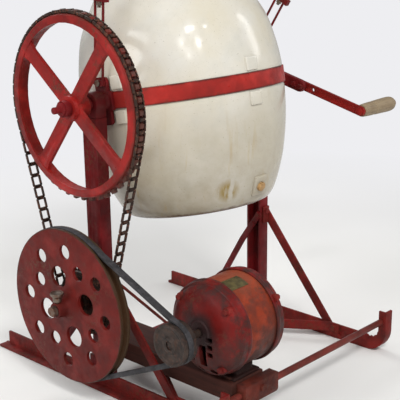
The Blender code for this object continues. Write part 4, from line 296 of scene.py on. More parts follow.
def linear(code):
    """A colour's sRGB hex value as linear red, green, blue and alpha."""
    channels = [int(code[i : i + 2], 16) / 255 for i in (0, 2, 4)]
    return (*[c / 12.92 if c <= 0.04045 else ((c + 0.055) / 1.055) ** 2.4 for c in channels], 1)


def add_node(tree, kind, inputs=(), **settings):
    """Adds a shader node with its settings. An input that is given a socket is linked to it."""
    node = tree.nodes.new(f"ShaderNode{kind}")
    for name, value in settings.items():
        setattr(node, name, value)
    for name, value in dict(inputs).items():
        if isinstance(value, bpy.types.NodeSocket):
            tree.links.new(value, node.inputs[name])
        else:
            node.inputs[name].default_value = value
    return node


class Finish:
    """A Principled material in the making, with its tone so far. Patterns lie in object coordinates."""

    def __init__(self, name, surface, tone):
        self.material = bpy.data.materials.new(name)
        self.material.use_nodes = True
        self.tree = self.material.node_tree
        self.tree.nodes.clear()
        self.shader = self.add("BsdfPrincipled", surface)
        self.output = self.add("OutputMaterial", {"Surface": self.shader.outputs[0]})
        self.place = self.add("TexCoord").outputs["Object"]
        self.tone = linear(tone) if isinstance(tone, str) else tone

    def add(self, kind, inputs=(), **settings):
        return add_node(self.tree, kind, inputs, **settings)

    def cloud(self, size, detail, roughness):
        """Noise of a size in millimetres. Three sizes, one along each axis, draw it out."""
        along = size if isinstance(size, tuple) else (size, size, size)
        place = self.add("Mapping", {"Vector": self.place, "Scale": [1000 / step for step in along]})
        inputs = {"Vector": place.outputs[0], "Scale": 1.0, "Detail": detail, "Roughness": roughness}
        return self.add("TexNoise", inputs).outputs["Fac"]

    def mask(self, pattern, low, high, strength=1.0):
        """Rises from 0 where a pattern is low to the strength where it is high.

        A tuple as the pattern makes a cloud. A mask as the strength keeps it to where that is high.
        """
        value = self.cloud(*pattern) if isinstance(pattern, tuple) else pattern
        spread = {"Value": value, "From Min": low, "From Max": high, "To Min": 0.0, "To Max": strength}
        return self.add("MapRange", spread, clamp=True).outputs["Result"]

    def lay(self, colour, pattern, low, high, strength=1.0):
        """Lays a colour over the tone where a pattern is high, and gives back the mask of it."""
        colour = linear(colour) if isinstance(colour, str) else colour
        mask = self.mask(pattern, low, high, strength)
        self.tone = self.add("Mix", {0: mask, 6: self.tone, 7: colour}, data_type="RGBA").outputs[2]
        return mask

    def sheen(self, size, smooth, rough, high=0.7):
        """Lets the roughness change between two values over patches of a size in millimetres."""
        spread = {"Value": self.cloud(size, 4, 0.6), "From Min": 0.3, "From Max": high}
        spread.update({"To Min": smooth, "To Max": rough})
        self.tree.links.new(self.add("MapRange", spread).outputs["Result"], self.shader.inputs["Roughness"])

    def done(self, pattern, distance, strength):
        """Raises the surface by a pattern, gives it its tone and hands the material over."""
        height = self.cloud(*pattern) if isinstance(pattern, tuple) else pattern
        relief = self.add("Bump", {"Height": height, "Distance": distance, "Strength": strength})
        self.tree.links.new(relief.outputs[0], self.shader.inputs["Normal"])
        self.tree.links.new(self.tone, self.shader.inputs["Base Color"])
        return self.material


# Patterns of dirt, and of painted highlight and painted shade, that lie at a place on the churn
DIRT_AND_PAINTED_LIGHT_SHARE = 0.9


def low_down(low, high):
    """A pattern that grows from one height of the world down to a lower one."""

    def pattern(finish):
        height = finish.add("SeparateXYZ", {0: finish.place}).outputs["Z"]
        return finish.mask(height, high, low, DIRT_AND_PAINTED_LIGHT_SHARE)

    return pattern


def about_x(point, start, end):
    """A pattern that grows from one radius to another round a line along X."""

    def pattern(finish):
        flat = finish.add("VectorMath", {0: finish.place, 1: (0, 1, 1)}, operation="MULTIPLY").outputs[0]
        away = finish.add("VectorMath", {0: flat, 1: (0, point.y, point.z)}, operation="DISTANCE")
        return finish.mask(away.outputs["Value"], start, end, DIRT_AND_PAINTED_LIGHT_SHARE)

    return pattern


def rim_side(point, radius, face):
    """A pattern on the side of a pulley's rim: outside a radius and behind its front face."""

    def pattern(finish):
        across = finish.add("SeparateXYZ", {0: finish.place}).outputs["X"]
        outside = about_x(point, radius, radius + 0.004)(finish)
        return finish.mask(across, face + 0.0008, face + 0.0020, outside)

    return pattern


def jar_height(finish):
    """Height along the tilted jar, from its trunnions."""
    along = finish.add("VectorMath", {0: finish.place, 1: JAR_UP}, operation="DOT_PRODUCT")
    heights = {0: along.outputs["Value"], 1: JAR_UP.dot(TRUNNION)}
    return finish.add("Math", heights, operation="SUBTRACT").outputs[0]


def strap_edges(start, end):
    """A pattern that grows towards both edges of the hoop."""

    def pattern(finish):
        height = finish.add("Math", {0: jar_height(finish)}, operation="ABSOLUTE").outputs[0]
        return finish.mask(height, start, end, DIRT_AND_PAINTED_LIGHT_SHARE)

    return pattern


# Materials
def painted_iron(name, paint, wear, grime, roughness, shine=0.2, dirt_and_painted_light=()):
    """Brushed oil paint on iron: uneven gloss, darker patches, chips down to rust, dirt, painted highlight
    and painted shade.

    Each entry of dirt and painted light is a pattern, its colour, and the bounds of the cloud that breaks it
    up.
    """
    tones = colours()
    base = linear(paint)
    darker = tuple(channel * 0.5 for channel in base[:3]) + (1,)
    lighter = tuple(min(channel * 1.45 + 0.006, 1) for channel in base[:3]) + (1,)
    finish = Finish(name, {"IOR": 1.45, "Specular IOR Level": shine}, darker)
    finish.lay(base, (111, 5, 0.6), 0.35, 0.66)
    finish.lay(lighter, (43.5, 4, 0.5), 0.52, 0.72, 0.65)
    # Chips a few millimetres across gather where a coarser pattern is high.
    worn = finish.mask((71.4, 3, 0.6), 0.62 - 0.22 * wear, 0.72)
    chips = finish.lay(tones.rust, (7.69, 6, 0.65), 0.53, 0.56, worn)
    cloud = finish.cloud(32.3, 6, 0.7)
    finish.lay(tones.grime, cloud, 0.45, 0.75, grime)
    for pattern, code, start, end in dirt_and_painted_light:
        finish.lay(code, cloud, start, end, pattern(finish))
    finish.sheen(16.7, roughness - 0.1, roughness + 0.22)
    # Brush marks stand up a little, and the chips lie below them.
    marks = finish.add("Math", {0: finish.cloud(3.85, 3, 0.6), 1: 0.35}, operation="MULTIPLY").outputs[0]
    relief = finish.add("Math", {0: marks, 1: chips}, operation="SUBTRACT").outputs[0]
    return finish.done(relief, 0.0004, 0.8)


def salt_glazed_stoneware():
    """Cream glaze on stoneware: a hard gloss over a faint dimple, with hairlines, specks, stains and painted
    shade below the hoop.
    """
    tones = colours()
    finish = Finish("salt_glazed_stoneware", {"IOR": 1.52, "Metallic": 0.0}, tones.glaze)
    finish.lay("C8C0AC", (143, 4, 0.6), 0.35, 0.7)
    finish.lay("BBB9AF", (58.8, 5, 0.6), 0.5, 0.8, 0.6)
    # Heights are taken along the tilted jar, so that stains and the painted shade keep level with its foot.
    height = jar_height(finish)
    # Painted shade: the glaze below the hoop is darkened a little.
    finish.lay("8E8672", height, -0.01, -0.1, 0.2)
    finish.lay("9C917B", (90.9, 5, 0.65), 0.2, 0.62, finish.mask(height, -0.01, -0.2, 0.85))
    # Drips run down from the hoop: noise that is drawn out along the height.
    streaks = finish.cloud((18.2, 18.2, 200), 5, 0.6)
    finish.lay(tones.glaze_stain, streaks, 0.58, 0.74, finish.mask(height, 0.0, -0.12, 0.5))
    # The foot is chipped to the bare body, with an uneven upper edge.
    chipped = {0: finish.cloud(16.7, 5, 0.7), 1: 0.012, 2: height}
    rough_height = finish.add("Math", chipped, operation="MULTIPLY_ADD").outputs[0]
    finish.lay("5E4330", rough_height, -0.2325, -0.2375, 0.9)
    # One rusty drip runs down beside the drain.
    spot = finish.add("VectorMath", {0: finish.place, 1: drip_place()}, operation="DISTANCE")
    finish.lay("8A7128", streaks, 0.40, 0.52, finish.mask(spot.outputs["Value"], 0.028, 0.012, 0.9))
    # The hairlines of old glaze lie 20 to 30 mm apart. They are drawn wider than they are, to show.
    cells = {"Vector": finish.place, "Scale": 1000 / 23.8, "Randomness": 1.0}
    crazing = finish.add("TexVoronoi", cells, feature="DISTANCE_TO_EDGE").outputs["Distance"]
    finish.lay("8E8672", crazing, 0.012, 0.0, finish.mask((167, 3, 0.6), 0.4, 0.6, 0.18))
    finish.lay("6B5A44", (2.38, 1, 0.5), 0.735, 0.76, 0.6)
    finish.sheen(25, 0.1, 0.24, 0.75)
    return finish.done((18.2, 3, 0.5), 0.0006, 0.35)


def drip_place():
    """Where the drip starts on the jar, in the world."""
    turn = DRAIN_TURN - DRIP_BESIDE_DRAIN
    radius = jar_radius(DRIP_HEIGHT)
    return JAR_FRAME @ Vector((radius * math.cos(turn), radius * math.sin(turn), DRIP_HEIGHT))


def greasy_iron(name, dark, light, fleck, metallic=0.55, share=0.8):
    """Castings under dried grease: a dark and a lighter tone in patches, with rusty flecks."""
    finish = Finish(name, {"Metallic": metallic}, dark)
    finish.lay(light, (22.2, 5, 0.65), 0.4, 0.7)
    finish.lay(fleck, (6.25, 5, 0.6), 0.52, 0.64, share)
    finish.sheen(8.33, 0.38, 0.7)
    return finish.done((2.63, 4, 0.6), 0.0004, 0.7)


def worn_steel(name, clean, rust, roughness):
    """Turned or drawn steel that has dulled, with thin brown rust."""
    finish = Finish(name, {"Metallic": 0.9}, clean)
    finish.lay("6A4232", (13.3, 6, 0.7), 0.44, 0.6, rust)
    finish.sheen(5, roughness - 0.1, roughness + 0.2)
    return finish.done((2, 3, 0.6), 0.0002, 0.5)


def rubbered_canvas():
    """A belt of rubber and canvas: dusty grey black. Its weave is drawn coarse, at 1.5 mm, to show."""
    finish = Finish("rubbered_canvas", {"Roughness": 0.82, "IOR": 1.5}, "242325")
    finish.lay(colours().belt, (16.7, 5, 0.65), 0.4, 0.72)
    finish.lay("5A5552", (5.26, 4, 0.6), 0.6, 0.7, 0.5)
    weave = finish.add("TexVoronoi", {"Vector": finish.place, "Scale": 1000 / 1.54}).outputs["Distance"]
    return finish.done(weave, 0.0004, 0.7)


def moulded_rubber():
    """The lid's seal: dull red rubber with darker clouds."""
    finish = Finish("red_rubber", {"Roughness": 0.7, "IOR": 1.5}, colours().seal)
    finish.lay("5E2A22", (20, 4, 0.6), 0.4, 0.7)
    return finish.done((3.33, 3, 0.5), 0.0002, 0.5)


def hardwood(name, code, along, dark, roughness=0.55, shine=0.5):
    """Bare wood: grain lines 1 to 3 mm apart run along the piece, with cracks and handling dirt."""

    def drawn_out(length_mm, width_mm):
        return tuple(length_mm if axis == along else width_mm for axis in range(3))

    base = linear(code)
    surface = {"IOR": 1.5, "Roughness": roughness, "Specular IOR Level": shine}
    finish = Finish(name, surface, tuple(channel * 0.62 for channel in base[:3]) + (1,))
    finish.lay(base, (drawn_out(250, 16.7), 4, 0.6), 0.35, 0.68)
    grain = finish.cloud(drawn_out(71.4, 3.12), 6, 0.65)
    finish.lay(dark, grain, 0.55, 0.68, 0.7)
    cracks = finish.lay("2A1F18", (drawn_out(178, 7.81), 3, 0.5), 0.66, 0.69)
    finish.lay(dark, (35.7, 5, 0.6), 0.5, 0.75, 0.5)
    relief = finish.add("Math", {0: grain, 1: cracks}, operation="SUBTRACT").outputs[0]
    return finish.done(relief, 0.0004, 0.6)


def tarnished_brass():
    """Rolled brass that has gone olive, with lighter rubbed places."""
    finish = Finish("tarnished_brass", {"Metallic": 0.75, "Roughness": 0.5}, "5A5238")
    finish.lay(colours().plate, (11.1, 5, 0.6), 0.4, 0.66)
    finish.lay("9C8C54", (3.85, 4, 0.6), 0.6, 0.7, 0.5)
    return finish.done((2.38, 3, 0.5), 0.0002, 0.5)


MATERIALS = {}


def make_materials():
    tones = colours()
    chain_grease = (about_x(TRUNNION, 0.168, 0.1735), "4A3128", 0.28, 0.5)
    pulley_dirt = (
        (about_x(COUNTERSHAFT, 0.1540, 0.1562), "3E2C22", 0.28, 0.5),
        (rim_side(COUNTERSHAFT, 0.136, TRUNNION.x - sizes().pulley_front), "41301F", 0.2, 0.34),
    )
    hoop_edges = (strap_edges(0.0125, 0.0165), "3A1C18", 0.38, 0.5)
    shell_highlight_and_darkening = (
        # The shell grows darker towards the bottom.
        (low_down(0.15, 0.24), tones.grime, 0.30, 0.50),
        (low_down(0.10, 0.30), "4A2A22", 0.44, 0.56),
        # Painted highlight: lighter orange over the top of the shell.
        (low_down(0.292, 0.262), "8E4A34", 0.30, 0.50),
    )
    bell_grime_and_hub_shade = (
        # The bells grow darker towards the bottom.
        (low_down(0.10, 0.24), "32201C", 0.34, 0.54),
        # Painted shade: darker round the hub.
        (about_x(MOTOR, 0.050, 0.026), "2A2020", 0.2, 0.4),
        (about_x(MOTOR, 0.070, 0.080), "3C2320", 0.40, 0.58),
    )
    # Each paint has its name, colour, wear, grime, roughness, shine, and dirt with painted light.
    paints = {
        "red": ("brushed_red_oil_paint", tones.red_paint, 0.5, 0.35, 0.4),
        "bar": ("weathered_bar_paint", tones.bar_paint, 0.8, 0.7, 0.5, 0.15),
        "wheel": ("chain_wheel_oil_paint", tones.red_paint, 0.45, 0.3, 0.36, 0.25, (chain_grease,)),
        "pulley": ("pulley_oil_paint", tones.pulley_paint, 0.35, 0.4, 0.40, 0.19, pulley_dirt),
        "hoop": ("fresh_red_oil_paint", tones.hoop_paint, 0.3, 0.25, 0.34, 0.25, (hoop_edges,)),
        "dark": ("maroon_oil_paint", tones.shade_paint, 0.5, 0.45, 0.45),
        "motor": ("motor_oil_paint", tones.motor_paint, 0.8, 0.75, 0.45, 0.2, shell_highlight_and_darkening),
        "bell": ("bell_oil_paint", tones.bell_paint, 0.6, 0.85, 0.40, 0.22, bell_grime_and_hub_shade),
        "base": ("dirty_casting_paint", "331814", 0.6, 0.95, 0.7),
        "clamp": ("worn_clamp_paint", "642A20", 0.9, 0.9, 0.6),
        "rod": ("rubbed_rod_paint", "6F2C25", 0.8, 0.4, 0.42),
    }
    MATERIALS.update({look: painted_iron(*paint) for look, paint in paints.items()})
    MATERIALS.update(
        {
            "glaze": salt_glazed_stoneware(),
            "iron": greasy_iron("greasy_malleable_iron", "2C201B", tones.iron, "7C4C3A"),
            "cast": greasy_iron("oily_grey_iron", "271E1A", "42332B", "5A3A2C", 0.4, 0.5),
            "steel": worn_steel("worn_bare_steel", tones.steel, 0.85, 0.38),
            "tin": worn_steel("tinned_sheet_steel", tones.tin, 0.25, 0.28),
            "canvas": rubbered_canvas(),
            "seal": moulded_rubber(),
            "grip": hardwood("bare_beech_grip", tones.grip, 0, "5C4633"),
            "board": hardwood("oiled_oak_board", tones.board, 1, "231915", 0.8, 0.2),
            "bung": hardwood("softwood_bung", tones.bung, 1, "7A5530", 0.6),
            "plate": tarnished_brass(),
            "copper": greasy_iron("varnished_copper_wire", "3A2016", tones.copper, "8A5230", 0.3, 0.4),
        }
    )


# Shared shaping steps
def placed(name, data):
    """An object of the scene that holds the data."""
    thing = bpy.data.objects.new(name, data)
    bpy.context.scene.collection.objects.link(thing)
    return thing


def meshed(name, bm):
    """An object of the scene with a bmesh's shape, which is used up."""
    mesh = bpy.data.meshes.new(name)
    bm.to_mesh(mesh)
    bm.free()
    return placed(name, mesh)


def finished(name, bm, look, body, replaced=(), sharp=38):
    """Turns a bmesh into a piece of the churn that rides on a body."""
    bmesh.ops.remove_doubles(bm, verts=bm.verts, dist=MERGE)
    bmesh.ops.recalc_face_normals(bm, faces=bm.faces)
    piece = meshed(name, bm)
    piece.data.materials.append(MATERIALS[look])
    shade(piece, sharp)
    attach(piece, body)
    if replaced:
        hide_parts(*replaced)
    return piece


def shade(piece, sharp):
    """Shades a piece smooth, but for edges that turn by more degrees than sharp."""
    piece.data.shade_smooth()
    piece.data.set_sharp_from_angle(angle=math.radians(sharp))


def spun(bm, profile, steps, matrix, closed=True):
    """Spins a profile of (place, radius) pairs once round the Z axis, then moves it by the matrix."""
    before = set(bm.verts)
    verts = [bm.verts.new((radius, 0, place)) for place, radius in profile]
    pairs = list(zip(verts, verts[1:])) + ([(verts[-1], verts[0])] if closed else [])
    edges = [bm.edges.new(pair) for pair in pairs]
    bmesh.ops.spin(
        bm, geom=verts + edges, cent=(0, 0, 0), axis=(0, 0, 1), angle=FULL_TURN, steps=steps, use_merge=True
    )
    bmesh.ops.transform(bm, matrix=matrix, verts=[vert for vert in bm.verts if vert not in before])


def rounded(profile, radius, steps=3, closed=True):
    """Rounds the corners of a profile, as casting or turning leaves them."""
    made = []
    total = len(profile)
    for i, point in enumerate(profile):
        here = Vector(point)
        back = Vector(profile[i - 1]) - here
        ahead = Vector(profile[(i + 1) % total]) - here
        reach = min(radius, back.length * 0.45, ahead.length * 0.45)
        an_end = not closed and i in (0, total - 1)
        if an_end or reach < MERGE or back.angle(ahead) > math.radians(165):
            made.append(point)
            continue
        start, end = here + back.normalized() * reach, here + ahead.normalized() * reach
        for j in range(steps + 1):
            t = j / steps
            made.append(tuple(start * (1 - t) ** 2 + here * 2 * t * (1 - t) + end * t**2))
    return made


def smoothed(points, steps):
    """A curve through the points, so that a few measured places make a fair shape."""
    made = []
    last = len(points) - 1
    for i in range(last):
        a, b, c, d = (Vector(points[max(0, min(last, j))]) for j in (i - 1, i, i + 1, i + 2))
        for j in range(steps):
            t = j / steps
            bend = (c - a) * t + (2 * a - 5 * b + 4 * c - d) * t**2 + (3 * b - a - 3 * c + d) * t**3
            made.append(tuple(0.5 * (2 * b + bend)))
    return made + [tuple(points[-1])]


def bevelled(bm, edges, width, segments, clamp=False):
    """Rounds edges of a bmesh and gives back the new faces."""
    return bmesh.ops.bevel(
        bm, geom=edges, offset=width, affect="EDGES", segments=segments, profile=0.5, material=-1,
        clamp_overlap=clamp,
    )["faces"]


def refined(node, look, slot, body, width):
    """A merged copy of a CAD node with its edges rounded as they wear."""
    bm = bmesh.new()
    bm.from_mesh(frame["nodes"][node].data)
    bmesh.ops.remove_doubles(bm, verts=bm.verts, dist=MERGE)
    bmesh.ops.dissolve_limit(bm, angle_limit=math.radians(1), verts=bm.verts, edges=bm.edges)
    limit = math.radians(40)
    edges = [e for e in bm.edges if len(e.link_faces) == 2 and e.calc_face_angle(0) > limit]
    bevelled(bm, edges, width, 2, True)
    finished(f"{node}_worn", bm, look, body, (node,), 30)


def block(bm, size, matrix, bevel, segments):
    """A block with rounded edges."""
    made = bmesh.ops.create_cube(bm, size=1)["verts"]
    bmesh.ops.scale(bm, vec=size, verts=made)
    faces = bevelled(bm, list({edge for vert in made for edge in vert.link_edges}), bevel, segments)
    made = list({vert for face in faces for vert in face.verts} | {vert for vert in made if vert.is_valid})
    bmesh.ops.transform(bm, matrix=matrix, verts=made)


def rod(bm, start, end, radius, steps, tip=None):
    """A round bar between two points, drawn to a tip's radius where one is given."""
    along = end - start
    matrix = Matrix.Translation((start + end) / 2) @ along.to_track_quat("Z", "Y").to_matrix().to_4x4()
    bmesh.ops.create_cone(
        bm, cap_ends=True, segments=steps, radius1=radius, radius2=radius if tip is None else tip,
        depth=along.length, matrix=matrix,
    )


def around_x(degrees, place):
    """The point at a turn and a distance from a line along X."""
    turn = math.radians(degrees)
    return Vector((0, math.cos(turn), math.sin(turn))) * place


def cut_with(piece, bm, operation="DIFFERENCE"):
    """Cuts a shape out of a piece, or joins it on, and keeps the result in its mesh."""
    bmesh.ops.recalc_face_normals(bm, faces=bm.faces)
    tool = meshed("tool", bm)
    modifier = piece.modifiers.new("shape", "BOOLEAN")
    modifier.operation = operation
    modifier.solver = "EXACT"
    modifier.use_self = operation == "UNION"
    modifier.object = tool
    graph = bpy.context.evaluated_depsgraph_get()
    old = piece.data
    piece.data = bpy.data.meshes.new_from_object(piece.evaluated_get(graph))
    piece.modifiers.remove(modifier)
    bpy.data.objects.remove(tool)
    bpy.data.meshes.remove(old)


def soften(piece, width, sharp):
    """Rounds the sharp edges of a finished piece with a Bevel modifier."""
    modifier = piece.modifiers.new("worn edges", "BEVEL")
    modifier.width = width
    modifier.segments = 2
    modifier.limit_method = "ANGLE"
    modifier.angle_limit = math.radians(40)
    modifier.use_clamp_overlap = True
    shade(piece, sharp)


def turned(name, profile, steps, matrix, look, slot, body, replaced, closed=True):
    """A piece that is turned round the Z axis of a matrix."""
    bm = bmesh.new()
    spun(bm, profile, steps, matrix, closed)
    return finished(name, bm, look, body, (replaced,))


def turned_x(name, profile, steps, point, *rest):
    """A piece that is turned round the line along X through a point."""
    return turned(name, profile, steps, Matrix.Translation(point) @ ALONG_X, *rest)


def jar_radius(place):
    """The jar's outer radius at a height."""
    for (low, first), (high, second) in zip(JAR_SIDE, JAR_SIDE[1:]):
        if low <= place <= high:
            return first + (second - first) * (place - low) / (high - low)
    return JAR_SIDE[0][1]


def groove(outer, s):
    """The profile of a pulley's V groove for the belt."""
    flank = math.tan(BELT_FLANK)
    top = s.belt_width / 2 + SEAT_GAP / math.cos(BELT_FLANK) - BELT_PROUD * flank
    deep = s.belt_depth + GROOVE_FLOOR_GAP
    corners = ((-top, 0.0), (deep * flank - top, deep), (top - deep * flank, deep), (top, 0.0))
    return [(across - s.belt_centre, outer - down) for across, down in corners]


class ChurnOperator(bpy.types.Operator):
    """Base of the churn's operators. Its worn rows are CAD nodes that only need their edges rounded."""

    bl_options = {"REGISTER", "UNDO"}
    worn = ()

    def execute(self, context):
        self.build(sizes())
        for row in self.worn:
            refined(*row)
        return {"FINISHED"}

    def build(self, s):
        """Builds the pieces that are more than worn copies. Some operators have none."""


class CHURN_OT_jar(ChurnOperator):
    """The stoneware jar with its lugs and drain pad, and the wooden bung"""

    bl_idname = "churn.jar"
    bl_label = "Jar"

    def profile(self, s):
        """The outside with its seat for the hoop, the rim, and the inside."""
        half = s.hoop_height / 2 + HOOP_RELIEF
        side = smoothed(JAR_SIDE, 5)
        outside = [point for point in side if point[0] < -half] + [(-half, s.hoop_seat), (half, s.hoop_seat)]
        outside += [point for point in side if point[0] > half]
        lip = [(JAR_RIM_TOP - JAR_RIM_LIP, JAR_RIM_RADIUS), (JAR_RIM_TOP, JAR_RIM_RADIUS)]
        lip += [(JAR_RIM_TOP, JAR_MOUTH_RADIUS), *JAR_NECK_INSIDE]
        rim = rounded([outside[-1], *lip], JAR_RIM_ROUNDING, 4, False)
        inside = [(place, radius - s.jar_wall) for place, radius in reversed(outside)]
        inside = [point for point in inside if abs(point[0]) < JAR_WALL_REACH]
        foot = JAR_SIDE[0][0]
        floor = foot + s.jar_wall
        inside += [*JAR_FLOOR_INSIDE, (floor, JAR_FLOOR_RADIUS), (floor, 0.0)]
        return [(foot, radius) for radius in JAR_FOOT_RADII] + outside[:-1] + rim + inside

    def build(self, s):
        bm = bmesh.new()
        spun(bm, self.profile(s), s.jar_steps, JAR_FRAME, closed=False)
        jar = finished("stoneware_jar", bm, "glaze", "churn", ("jar",), 50)
        lugs = bmesh.new()
        level = s.hoop_height / 2 + LUG_GAP + s.lug_height / 2
        for degrees in SIDE_LUG_TURNS + FRONT_LUG_TURNS:
            wide = s.front_lug_width if degrees in FRONT_LUG_TURNS else s.lug_width
            facing = JAR_FRAME @ Matrix.Rotation(math.radians(degrees), 4, "Z")
            for height in (level, -level):
                place = Matrix.Translation((LUG_ROOT + s.lug_proud - LUG_SINK / 2, 0, height))
                block(lugs, (LUG_SINK, wide, s.lug_height), facing @ place, LUG_EDGE, 4)
        low, high = DRAIN_SLOPE_ENDS
        slope = (jar_radius(high) - jar_radius(low)) / (high - low)
        facing = JAR_FRAME @ Matrix.Rotation(DRAIN_TURN, 4, "Z")
        seat = facing @ Matrix.Translation((jar_radius(DRAIN_HEIGHT), 0, DRAIN_HEIGHT))
        seat = seat @ Matrix.Rotation(math.atan(slope), 4, "Y")
        pad = seat @ Matrix.Translation(((s.drain_pad_proud - DRAIN_SINK) / 2, 0, 0))
        pad_size = (DRAIN_SINK + s.drain_pad_proud, s.drain_pad_width, s.drain_pad_height)
        block(lugs, pad_size, pad, LUG_EDGE, 4)
        cut_with(jar, lugs, "UNION")
        hole = bmesh.new()
        reach = Vector((0.03, 0, 0))
        rod(hole, seat @ -reach, seat @ reach, s.drain_radius + SEAT_GAP, 40)
        cut_with(jar, hole)
        shade(jar, 50)
        edge, middle = BUNG_PROUD
        bung = [(-s.jar_wall, 0.0), (-s.jar_wall, s.drain_radius), (edge, s.drain_radius), (middle, 0.0)]
        bung = rounded(bung, CORNER, 3, False)
        turned("drain_bung", bung, 40, seat @ ALONG_X, "bung", "plug_wood", "churn", "drain_plug", False)


class CHURN_OT_hoop(ChurnOperator):
    """The two halves of the hoop that holds the jar"""

    bl_idname = "churn.hoop"
    bl_label = "Hoop"

    def build(self, s):
        inner = s.hoop_seat + SEAT_GAP
        outer = inner + s.hoop_wall
        half = s.hoop_height / 2
        section = rounded([(-half, inner), (half, inner), (half, outer), (-half, outer)], CORNER)
        gap = HOOP_SPLIT / 2 / inner
        for node, start in (("rear_hoop", gap), ("front_hoop", math.pi + gap)):
            bm = bmesh.new()
            face = bm.faces.new([bm.verts.new((radius, 0, place)) for place, radius in section])
            angle, steps = math.pi - 2 * gap, s.jar_steps // 2
            bmesh.ops.spin(bm, geom=[face], cent=(0, 0, 0), axis=(0, 0, 1), angle=angle, steps=steps)
            bmesh.ops.transform(bm, matrix=JAR_FRAME @ Matrix.Rotation(start, 4, "Z"), verts=bm.verts)
            finished(f"{node}_strap", bm, "hoop", "churn", (node,))


class CHURN_OT_castings(ChurnOperator):
    """The trunnion castings, link pins and lid clamps"""

    bl_idname = "churn.castings"
    bl_label = "Castings and clamps"
    worn = tuple(
        (f"{side}_{piece}", look or gudgeon, slot, body or f"{side}_clamp", width)
        for side, gudgeon in (("left", "dark"), ("right", "red"))
        for piece, look, slot, body, width in (
            ("gudgeon", None, "red_paint", "churn", 0.0012),
            ("link_pin", "steel", "bright_iron", "churn", 0.0004),
            ("link", "dark", "red_paint", None, 0.0005),
            ("clamp_screw", "steel", "bright_iron", None, 0.0004),
        )
    )


class CHURN_OT_lid(ChurnOperator):
    """The lid, its gasket and its yoke"""

    bl_idname = "churn.lid"
    bl_label = "Lid"
    worn = (("lid_yoke", "red", "red_paint", "lid", 0.0012),)

    def build(self, s):
        low = JAR_RIM_TOP + SEAT_GAP
        seat = low + GASKET_THICKNESS
        lid = [(seat + rise, radius) for rise, radius in (*smoothed(LID_DOME, 4), *LID_UNDERSIDE)]
        lid = rounded(lid, CORNER, 3, False)
        turned("lid_spinning", lid, s.jar_steps, JAR_FRAME, "tin", "lid_steel", "lid", "lid", False)
        inner, outer = GASKET_RADII
        ring = rounded([(low, inner), (seat, inner), (seat, outer), (low, outer)], 0.0014)
        turned("lid_seal", ring, s.jar_steps, JAR_FRAME, "seal", "seal_rubber", "lid", "lid_gasket")


class CHURN_OT_wheel(ChurnOperator):
    """The big chain wheel with its collar, and the small sprocket"""

    bl_idname = "churn.wheel"
    bl_label = "Chain wheel"
    worn = (
        ("sprocket_wheel", "wheel", "red_paint", "churn", 0.0009),
        ("wheel_collar", "dark", "dark_paint", "churn", 0.0012),
        ("small_sprocket", "iron", "chain_iron", "countershaft", 0.0007),
    )


class CHURN_OT_chain(ChurnOperator):
    """The ladder chain as separate hooked links"""

    bl_idname = "churn.chain"
    bl_label = "Chain"

    def joints(self, s):
        """The chain's joints, one pitch apart, from the top of the wheel."""
        wheel = s.chain_pitch / (2 * math.sin(math.pi / s.wheel_teeth))
        sprocket = s.chain_pitch / (2 * math.sin(math.pi / s.sprocket_teeth))
        drop = TRUNNION.z - COUNTERSHAFT.z
        lean = math.asin((wheel - sprocket) / drop)
        leaving = Vector((0, math.cos(lean), -math.sin(lean)))
        # In pitches: a quarter of the wheel and more, one straight run, and the rest on the sprocket
        on_wheel = (math.pi / 2 + lean) * s.wheel_teeth / FULL_TURN
        straight = drop * math.cos(lean) / s.chain_pitch
        on_sprocket = (math.pi / 2 - lean) * s.sprocket_teeth / FULL_TURN
        half = on_wheel + straight + on_sprocket
        links = 2 * round(half)
        places = []
        for i in range(links):
            run = i * 2 * half / links
            side = 1 if run < half else -1
            run = min(run, 2 * half - run)
            if run < on_wheel:
                turn = math.pi / 2 - run * FULL_TURN / s.wheel_teeth
                place = TRUNNION + Vector((0, math.cos(turn), math.sin(turn))) * wheel
            elif run < on_wheel + straight:
                start, end = TRUNNION + leaving * wheel, COUNTERSHAFT + leaving * sprocket
                place = start.lerp(end, (run - on_wheel) / straight)
            else:
                turn = -lean - (run - on_wheel - straight) * FULL_TURN / s.sprocket_teeth
                place = COUNTERSHAFT + Vector((0, math.cos(turn), math.sin(turn))) * sprocket
            across = (place.y - TRUNNION.y) * side
            places.append(Vector((TRUNNION.x - s.chain_centre, TRUNNION.y + across, place.z)))
        return places

    def link(self, bm, start, end, out, s):
        """One link: two side bars, a round end bar, and a hook round the next link's end bar."""
        along = (end - start).normalized()
        across = along.cross(out).normalized()
        seat = Matrix((across, along, out)).transposed().to_4x4()
        seat.translation = start
        reach = (end - start).length
        half = s.chain_width / 2 - CHAIN_BAR_INSET
        bar = (CHAIN_BAR_WIDTH, reach - 2 * CHAIN_BAR_GAP, CHAIN_BAR_HEIGHT)
        for side in (half, -half):
            block(bm, bar, seat @ Matrix.Translation((side, reach / 2, 0)), 0.0008, 1)
        rod(bm, seat @ Vector((-half, reach, 0)), seat @ Vector((half, reach, 0)), CHAIN_END_RADIUS, 8)
        # The hook wraps the bar behind it and is open towards the inside of the loop.
        half = s.chain_width / 2 - CHAIN_HOOK_INSET
        inner, outer = CHAIN_HOOK_RADII
        way = Vector((0, -math.cos(CHAIN_HOOK_START), math.sin(CHAIN_HOOK_START)))
        corners = ((-half, inner), (-half, outer), (half, outer), (half, inner))
        face = bm.faces.new([bm.verts.new(seat @ (way * size + Vector((x, 0, 0)))) for x, size in corners])
        turn = {"angle": CHAIN_HOOK_TURN, "steps": CHAIN_HOOK_STEPS}
        bmesh.ops.spin(bm, geom=[face], cent=start, axis=-across, **turn)

    def build(self, s):
        places = self.joints(s)
        middle = (TRUNNION + COUNTERSHAFT) / 2
        bm = bmesh.new()
        for start, end in zip(places, places[1:] + places[:1]):
            along = (end - start).normalized()
            out = Vector((0, -along.z, along.y))
            if out.dot((start + end) / 2 - middle) < 0:
                out = -out
            self.link(bm, start, end, out, s)
        finished("ladder_chain", bm, "iron", "stand", ("drive_chain",), 40)


